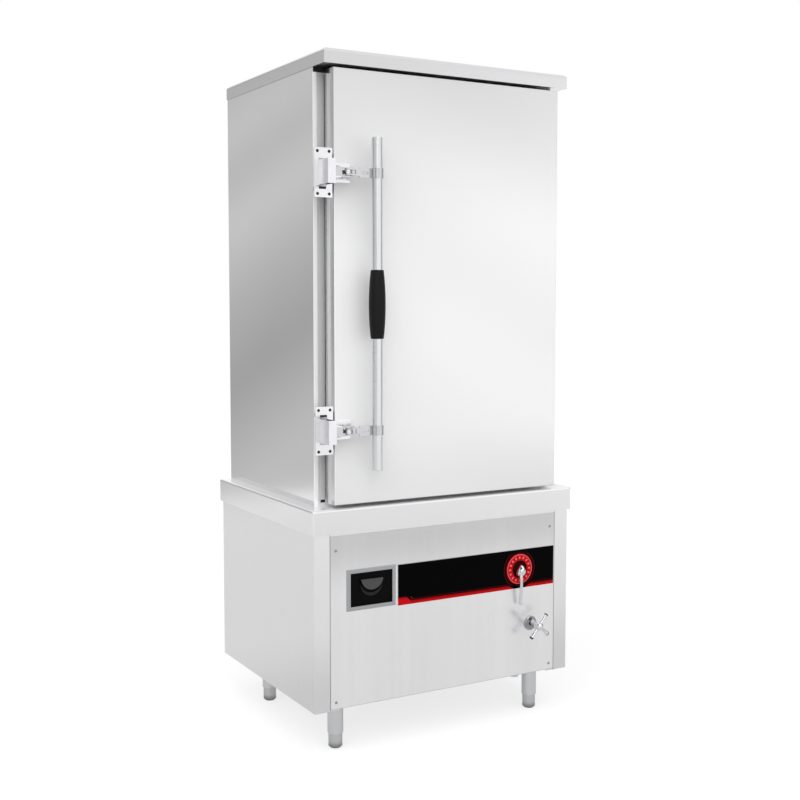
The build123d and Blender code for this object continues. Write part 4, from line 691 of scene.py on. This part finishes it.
# %% Gear lever
BOSS_Z, BOSS_FACE, BOSS_PROUD, BOSS_HALF_X, BOSS_HALF_Z = 434.0, -304.6, 21.4, 14.2, 18.5
ROD_TOP, ROD_FOOT, ROD_BACK = 436.0, 334.3, -314.5
SPINDLE_FRONT, SPINDLE_BACK, SPINDLE_RADIUS = -303.0, -255.2, 3.9
lever_low, lever_high = box_mm(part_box("gear_lever"))
lever_x = (lever_low[0] + lever_high[0]) / 2
turn = full_turn(64)
egg_x = np.sin(turn) * (1.0 - 0.28 * np.cos(turn) - 0.06 * np.cos(2 * turn))
t = np.linspace(0, 1, 22)[:, None]
spread = np.sqrt(np.clip(1 - t ** 2.4, 0, 1))
boss = np.stack([lever_x - BOSS_HALF_X * spread * egg_x, BOSS_FACE - BOSS_PROUD * t + 0 * turn,
                 BOSS_Z + BOSS_HALF_Z * spread * np.cos(turn) + 1.5 * t], -1)
s = np.linspace(0, 1, 60)
rod_y = ROD_BACK - 6.0 * np.sin(math.pi * s ** 0.8) + 2.0 * s
rod_r = (5.4 - 1.1 * np.sin(math.pi * s * 0.5) + 0.7 * s ** 3) * round_end(s, 0.955)
rod = along(np.stack([lever_x - 5.0 + 1.5 * s, rod_y, ROD_TOP - (ROD_TOP - ROD_FOOT) * s], -1),
            circles(rod_r, 28))
spindle = along(np.stack([lever_x + np.zeros(4), np.linspace(SPINDLE_FRONT, SPINDLE_BACK, 4),
                          DIAL_Z / MM + np.zeros(4)], -1), circles([SPINDLE_RADIUS] * 4, 24))
piece("gear_lever_cast", [skin(boss), skin(rod), skin(spindle)], chrome, "gear_knob",
      "bright_metal", "gear_lever")

# %% [markdown]
# The water valve's handle is a domed hub with four turned spokes, each waisted and ending
# in a round knob, like the handles of old taps. A spoke's radius along its length is one
# curve: thick at the hub, thin in the waist, a swell, and a circle's fall at the tip.

# %% Valve handle
SPOKE_START, SPOKE_LENGTH, SPOKE_Y = 4.0, 43.6, -344.0
handle_low, handle_high = box_mm(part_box("valve_handle"))
s = np.linspace(0, 1, 44)
swell = 5.4 - 1.3 * np.exp(-((s - 0.45) / 0.20) ** 2) + 0.9 * np.exp(-((s - 0.88) / 0.09) ** 2)
spoke_rings = circles(swell * round_end(s, 0.90), 24)
reach = SPOKE_START + (SPOKE_LENGTH - SPOKE_START) * s
spokes = []
for quarter in range(4):
    lean = math.radians(50 + 90 * quarter)
    path = np.stack([VALVE_X + reach * math.cos(lean), SPOKE_Y + 0 * s,
                     VALVE_Z + reach * math.sin(lean)], -1)
    spokes.append(skin(along(path, spoke_rings)))
hub_y = np.array([-250.0, -318.0, -322.0, -330.0, -336.0, -350.0, -353.5, -356.0, -357.3])
hub_r = [4.4, 4.4, 8.6, 9.2, 11.6, 11.6, 9.8, 6.0, 0.6]
hub = along(np.stack([VALVE_X + 0 * hub_y, hub_y, VALVE_Z + 0 * hub_y], -1), circles(hub_r, 48))
piece("valve_handle_turned", spokes + [skin(hub)], chrome, "valve_wheel", "bright_metal",
      "valve_handle")
print("valve handle box", handle_low.round(1), handle_high.round(1))

# %% [markdown]
# The door's gasket is a hollow silicone bulb on a flat foot, pressed into the inner pan
# and run round all four sides with small bends at the corners. Its section is carried
# round a rectangle with rounded corners, whose points are worked out as four arcs.

# %% Door gasket
def round_rectangle(half_x, low_z, high_z, bend, steps=10):
    """Four quarter turns joined by straight runs; also the outward direction at each point."""
    quarter = np.linspace(0, math.pi / 2, steps)
    lean = (quarter[None] + (math.pi / 2) * np.arange(4)[:, None]).ravel()
    out = np.stack([np.cos(lean), np.sin(lean)], -1)
    middle = np.repeat([[half_x - bend, high_z - bend], [bend - half_x, high_z - bend],
                        [bend - half_x, low_z + bend], [half_x - bend, low_z + bend]], steps, 0)
    return middle + bend * out, out


BULB_Y, BULB_HALF_X, BULB_HALF_Y, CORNER_BEND = -248.6, 7.2, 7.0, 14.0
bulb_turn = np.linspace(math.radians(-60), math.radians(240), 26)
bulb_x = np.concatenate([BULB_HALF_X * np.cos(bulb_turn), [-5.0, -9.0, -9.0, 9.0, 9.0, 5.0]])
bulb_y = np.concatenate([BULB_Y + BULB_HALF_Y * np.sin(bulb_turn),
                         [-256.5, -256.8, -259.2, -259.2, -256.8, -256.5]])
corner, outward = round_rectangle(GASKET_X, GASKET_LOW, GASKET_HIGH, CORNER_BEND)
loop = np.stack([corner[:, None, 0] + bulb_x * outward[:, None, 0], bulb_y + 0 * corner[:, :1],
                 corner[:, None, 1] + bulb_x * outward[:, None, 1]], -1)
count, around = loop.shape[:2]
i, j = np.meshgrid(np.arange(count), np.arange(around), indexing="ij")
i2, j2 = (i + 1) % count, (j + 1) % around
ring_faces = np.stack([i * around + j, i2 * around + j, i2 * around + j2, i * around + j2], -1)
piece("door_gasket_bulb", [(loop.reshape(-1, 3), ring_faces.reshape(-1, 4).tolist())],
      gasket_rubber, "door", "gasket_rubber", "door_gasket")

# %% [markdown]
# The induction coil lies under the tank: one thick stranded conductor wound in a flat
# spiral. A copper colour alone would look cast, so slanting waves darken it and give it
# a relief, as the lay of twisted strands does.

# %% Induction coil
TURNS, COIL_INNER, OUTER_MARGIN = 11, 63.0, 5.3
coil_low, coil_high = box_mm(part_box("induction_coil"))
coil_x, coil_y = (coil_low[:2] + coil_high[:2]) / 2
coil_z, coil_thick = (coil_low[2] + coil_high[2]) / 2, coil_high[2] - coil_low[2]
coil_outer = (coil_high[0] - coil_low[0]) / 2 - OUTER_MARGIN
pitch = (coil_outer - COIL_INNER) / TURNS
s = np.linspace(0, 1, TURNS * 64)
wound = 2 * math.pi * TURNS * s
reach = COIL_INNER + (coil_outer - COIL_INNER) * s
path = np.stack([coil_x + reach * np.cos(wound), coil_y + reach * np.sin(wound),
                 coil_z + 0 * s], -1)
side = np.stack([np.cos(wound), np.sin(wound), 0 * wound], -1)
turn = full_turn(14)
conductor = (path[:, None] + (0.49 * pitch * np.cos(turn))[None, :, None] * side[:, None]
             + (0.47 * coil_thick * np.sin(turn))[None, :, None] * np.array([0.0, 0.0, 1.0]))
copper = Finish("coil conductor", Metallic=0.85)
twist = copper.add("ShaderNodeTexWave", {"wave_type": "BANDS", "bands_direction": "DIAGONAL"},
                   {"Vector": copper.place(), "Scale": 60.0, "Distortion": 1.2, "Detail": 1.0})
tarnish = copper.noise(30.0, 3.0, 0.6)
strand_tone = copper.between(tarnish, (0.50, 0.22, 0.11), (0.72, 0.40, 0.24))
copper.feed(copper.between(0.35 * twist, strand_tone, (0.20, 0.08, 0.05)),
            0.30 + 0.25 * twist, twist, 0.0004, 0.5)
points, faces = skin(conductor)
piece("induction_coil_wound", [(points, [face[::-1] for face in faces])], copper, "cabinet",
      "coil_copper", "induction_coil")

# %% [markdown]
# The cooling fan's rotor: a cup hub and seven blades that twist from steep at the hub to
# shallow at the tip. A blade is a thin oval section, turned a little more at every step
# outwards, and the seven are one blade turned about the hub.

# %% Fan rotor
BLADES, HUB_REACH, BLADE_SPAN, CLEARANCE = 7, 16.0, 37.0, 0.3
fan_low, fan_high = box_mm(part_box("fan_rotor"))
fan_x, fan_y = -305.0, 219.5
fan_z, fan_half = (fan_low[2] + fan_high[2]) / 2, (fan_high[2] - fan_low[2]) / 2
steps = np.linspace(0, 1, 14)[:, None]
steep = np.radians(52 - 26 * steps)
rim_turn = full_turn(20)
flat = (13.0 + 7.0 * steps) * np.cos(rim_turn)
thick = 0.9 * np.sin(rim_turn)
across = flat * np.cos(steep) - thick * np.sin(steep)
rise = np.clip(flat * np.sin(steep) + thick * np.cos(steep), CLEARANCE - fan_half,
               fan_half - CLEARANCE)
span = HUB_REACH + BLADE_SPAN * steps + 0 * across
blades = []
for lean in full_turn(BLADES):
    spun = np.stack([fan_x + span * math.cos(lean) - across * math.sin(lean),
                     fan_y + span * math.sin(lean) + across * math.cos(lean), fan_z + rise], -1)
    blades.append(skin(spun))
cup_z = np.array([fan_low[2], fan_low[2] + 1, fan_low[2] + 3, fan_high[2] - 3, fan_high[2]])
cup = along(np.stack([fan_x + 0 * cup_z, fan_y + 0 * cup_z, cup_z], -1),
            circles([16.5, 18.5, 19.4, 19.4, 18.0], 48))
piece("fan_rotor_moulded", blades + [skin(cup)], switch_black, "rotor", "black_plastic",
      "fan_rotor")

# %% [markdown]
# Polished steel shows what stands round it, so the studio is part of its look. A pale
# floor fades into the white background; the camera sees it almost white with the
# steamer's soft shadow, and the metal sees it a little darker. Light Path tells the two
# apart. The world is white to the camera, to mirrors and through glass, and gives the
# object a little less light than that.

# %% Planes and glow
GRID = 9


def grid_plane(name, corners):
    """A plane between four corners, in metres: each point is their mean, weighed by u and v."""
    a, b, c, d = (np.array(point, float) for point in corners)
    u, v = np.meshgrid(np.linspace(0, 1, GRID), np.linspace(0, 1, GRID), indexing="ij")
    u, v = u[..., None], v[..., None]
    points = (1 - u) * (1 - v) * a + u * (1 - v) * b + u * v * c + (1 - u) * v * d
    i, j = np.meshgrid(np.arange(GRID - 1) * GRID, np.arange(GRID - 1), indexing="ij")
    faces = np.stack([i + j, i + GRID + j, i + GRID + j + 1, i + j + 1], -1)
    mesh = bpy.data.meshes.new(name)
    mesh.from_pydata(points.reshape(-1, 3).tolist(), [], faces.reshape(-1, 4).tolist())
    made = bpy.data.objects.new(name, mesh)
    bpy.context.scene.collection.objects.link(made)
    return made


def glowing(finish, strength, shader_under=None, see_through=None):
    """Emission, laid over another shader and fading to clear where asked."""
    glow = finish.add("ShaderNodeEmission", None, {"Color": grey(1.0), "Strength": strength})
    if shader_under is not None:
        glow = finish.add("ShaderNodeAddShader", None, {0: glow, 1: shader_under})
    if see_through is not None:
        clear = finish.add("ShaderNodeBsdfTransparent")
        glow = finish.add("ShaderNodeMixShader", None, {0: see_through, 1: glow, 2: clear})
    finish.join(glow, finish.nodes["Material Output"].inputs["Surface"])


# %% Floor and background
HALF_FLOOR = 7
floor_finish = Finish("studio floor")
x, y, z = floor_finish.where()
away = floor_finish.reach(x, y)
seen = floor_finish.add("ShaderNodeLightPath", out="Is Camera Ray")
mirrored = floor_finish.add("ShaderNodeLightPath", out="Is Glossy Ray")
matt = floor_finish.add("ShaderNodeBsdfDiffuse", None, {"Color": grey(0.3)})
floor_glow = 0.70 * seen + mirrored * (0.44 + 0.24 * away.rise(2.6, 4.6))
glowing(floor_finish, floor_glow, matt, away.rise(4.5, 6.5))
floor = grid_plane("floor", [(-HALF_FLOOR, -HALF_FLOOR, 0), (HALF_FLOOR, -HALF_FLOOR, 0),
                             (HALF_FLOOR, HALF_FLOOR, 0), (-HALF_FLOOR, HALF_FLOOR, 0)])
floor.data.materials.append(floor_finish.material)

WORLD_LIGHT = 0.70
world = bpy.data.worlds.new("studio")
bpy.context.scene.world = world
world.use_nodes = True
sky = Graph(world.node_tree)
camera_ray, glossy_ray, clear_ray = [sky.add("ShaderNodeLightPath", out=ray) for ray in (
    "Is Camera Ray", "Is Glossy Ray", "Is Transmission Ray")]
shown = sky.maths("MAXIMUM", sky.maths("MAXIMUM", camera_ray, glossy_ray), clear_ray)
background = sky.nodes["Background"]
sky.join(WORLD_LIGHT + (1.0 - WORLD_LIGHT) * shown, background.inputs["Strength"])
sky.join(grey(1.0), background.inputs["Color"])
print("world light", WORLD_LIGHT)

# %% [markdown]
# Large cards stand where the camera's view bounces off the steel: a grey one behind on
# the left, whose soft slanting bands are what the chamber's side shows, and a bright one
# in front on the right for the door. At each side stands a wall that goes from pale to
# grey, for the sides as other views see them, and a dark card at the front on the left
# and one overhead, where only round pieces look, give tubes and knobs their dark edges.
# All are seen in reflections only.

# %% Reflector cards
def card(name, corners, strength_at):
    """A glowing plane seen in reflections only; its strength is worked out from the place."""
    finish = Finish(name.replace("_", " "))
    glowing(finish, strength_at(finish, *finish.where()))
    made = grid_plane(name, corners)
    made.data.materials.append(finish.material)
    made.visible_camera = made.visible_diffuse = made.visible_shadow = False
    made.visible_transmission = made.visible_volume_scatter = False
    print(name, "stands as a reflector")


def upright(start, end, low, high):
    """The corners of a wall between two points on the floor plan."""
    return [(*start, low), (*end, low), (*end, high), (*start, high)]


def side_bands(finish, x, y, z):
    """Greys along a slant: height plus three quarters of the way to the right."""
    levels = [(0.10, 0.60), (0.30, 0.40), (0.46, 0.52), (0.60, 0.68), (0.69, 0.54), (0.77, 0.66),
              (0.90, 0.48)]
    stops = [(place, grey(level)) for place, level in levels]
    return finish.add("ShaderNodeValToRGB", {"stops": stops}, {0: (z + 0.75 * (x + 1.75)) / 3.0})


def door_white(finish, x, y, z):
    """Over-white, with less at the upper left, less low down and a soft ripple."""
    ripple = finish.noise((1.2, 1.0, 2.6), 1.0, 0.4)
    return (1.24 - 0.36 * (z - 0.35 * x).rise(0.9, 2.3) - 0.40 * z.fall(0.0, 0.8)
            + 0.14 * (ripple - 0.5))


def left_wall(finish, x, y, z):
    """Paler towards the front."""
    return 0.75 - 0.6 * y.rise(-1.0, 1.2)


def right_wall(finish, x, y, z):
    """Paler upwards, and darker near the front."""
    return (0.34 + 0.28 * (z - 0.3 * y).rise(0.3, 2.4)) * (0.45 + 0.55 * y.rise(-2.2, -1.2))


def nearly_black(finish, x, y, z):
    """A trace of light, more towards the top."""
    return 0.04 + 0.06 * z.rise(0.5, 3.0)


card("card_left", upright((-4.2, 3.2), (-0.7, 3.2), 0.1, 3.4), side_bands)
card("card_right", upright((0.5, -3.5), (3.9, -3.5), 0.0, 3.0), door_white)
card("card_wall_left", upright((-5.0, 3.0), (-5.0, -2.4), 0.2, 3.4), left_wall)
card("card_wall_right", upright((4.6, -3.3), (5.0, 3.6), 0.2, 3.4), right_wall)
card("card_front_left", upright((-5.0, -3.2), (-4.0, -4.2), 0.0, 3.4), nearly_black)
card("card_overhead", [(-4.2, -3.4, 2.6), (-0.8, -4.0, 3.2), (-0.4, -0.8, 4.4), (-4.4, -0.4, 3.6)],
     nearly_black)

# %% [markdown]
# One broad soft sun from above on the left gives the knobs, legs and rims their shape.
# Its size is wide, so shadows have no hard edge, and its strength is plain, so a colour
# renders about as it is written. The camera was fitted to the photograph's edges, so its
# lens is a length in the photograph's pixels.

# %% Key light and camera
key = bpy.data.objects.new("key", bpy.data.lights.new("key", "SUN"))
key.data.energy = 2.1
key.data.angle = 1.3
key.rotation_euler = (math.radians(42), 0.0, math.radians(-40))
bpy.context.scene.collection.objects.link(key)

PHOTO_WIDTH, LENS_PIXELS = 800, 1189.384
camera = bpy.data.objects.new("camera", bpy.data.cameras.new("camera"))
camera.location = (-1.731315, -3.069179, 1.208656)
camera.rotation_euler = (math.radians(90 - 4.159), math.radians(-0.056), math.radians(-30.054))
camera.data.sensor_width = 36.0
camera.data.lens = LENS_PIXELS * camera.data.sensor_width / PHOTO_WIDTH
camera.data.shift_x, camera.data.shift_y = -0.010321, -0.015935
bpy.context.scene.collection.objects.link(camera)
bpy.context.scene.camera = camera
bpy.context.scene.view_settings.view_transform = "Standard"
print("lens", round(camera.data.lens, 2), "mm")
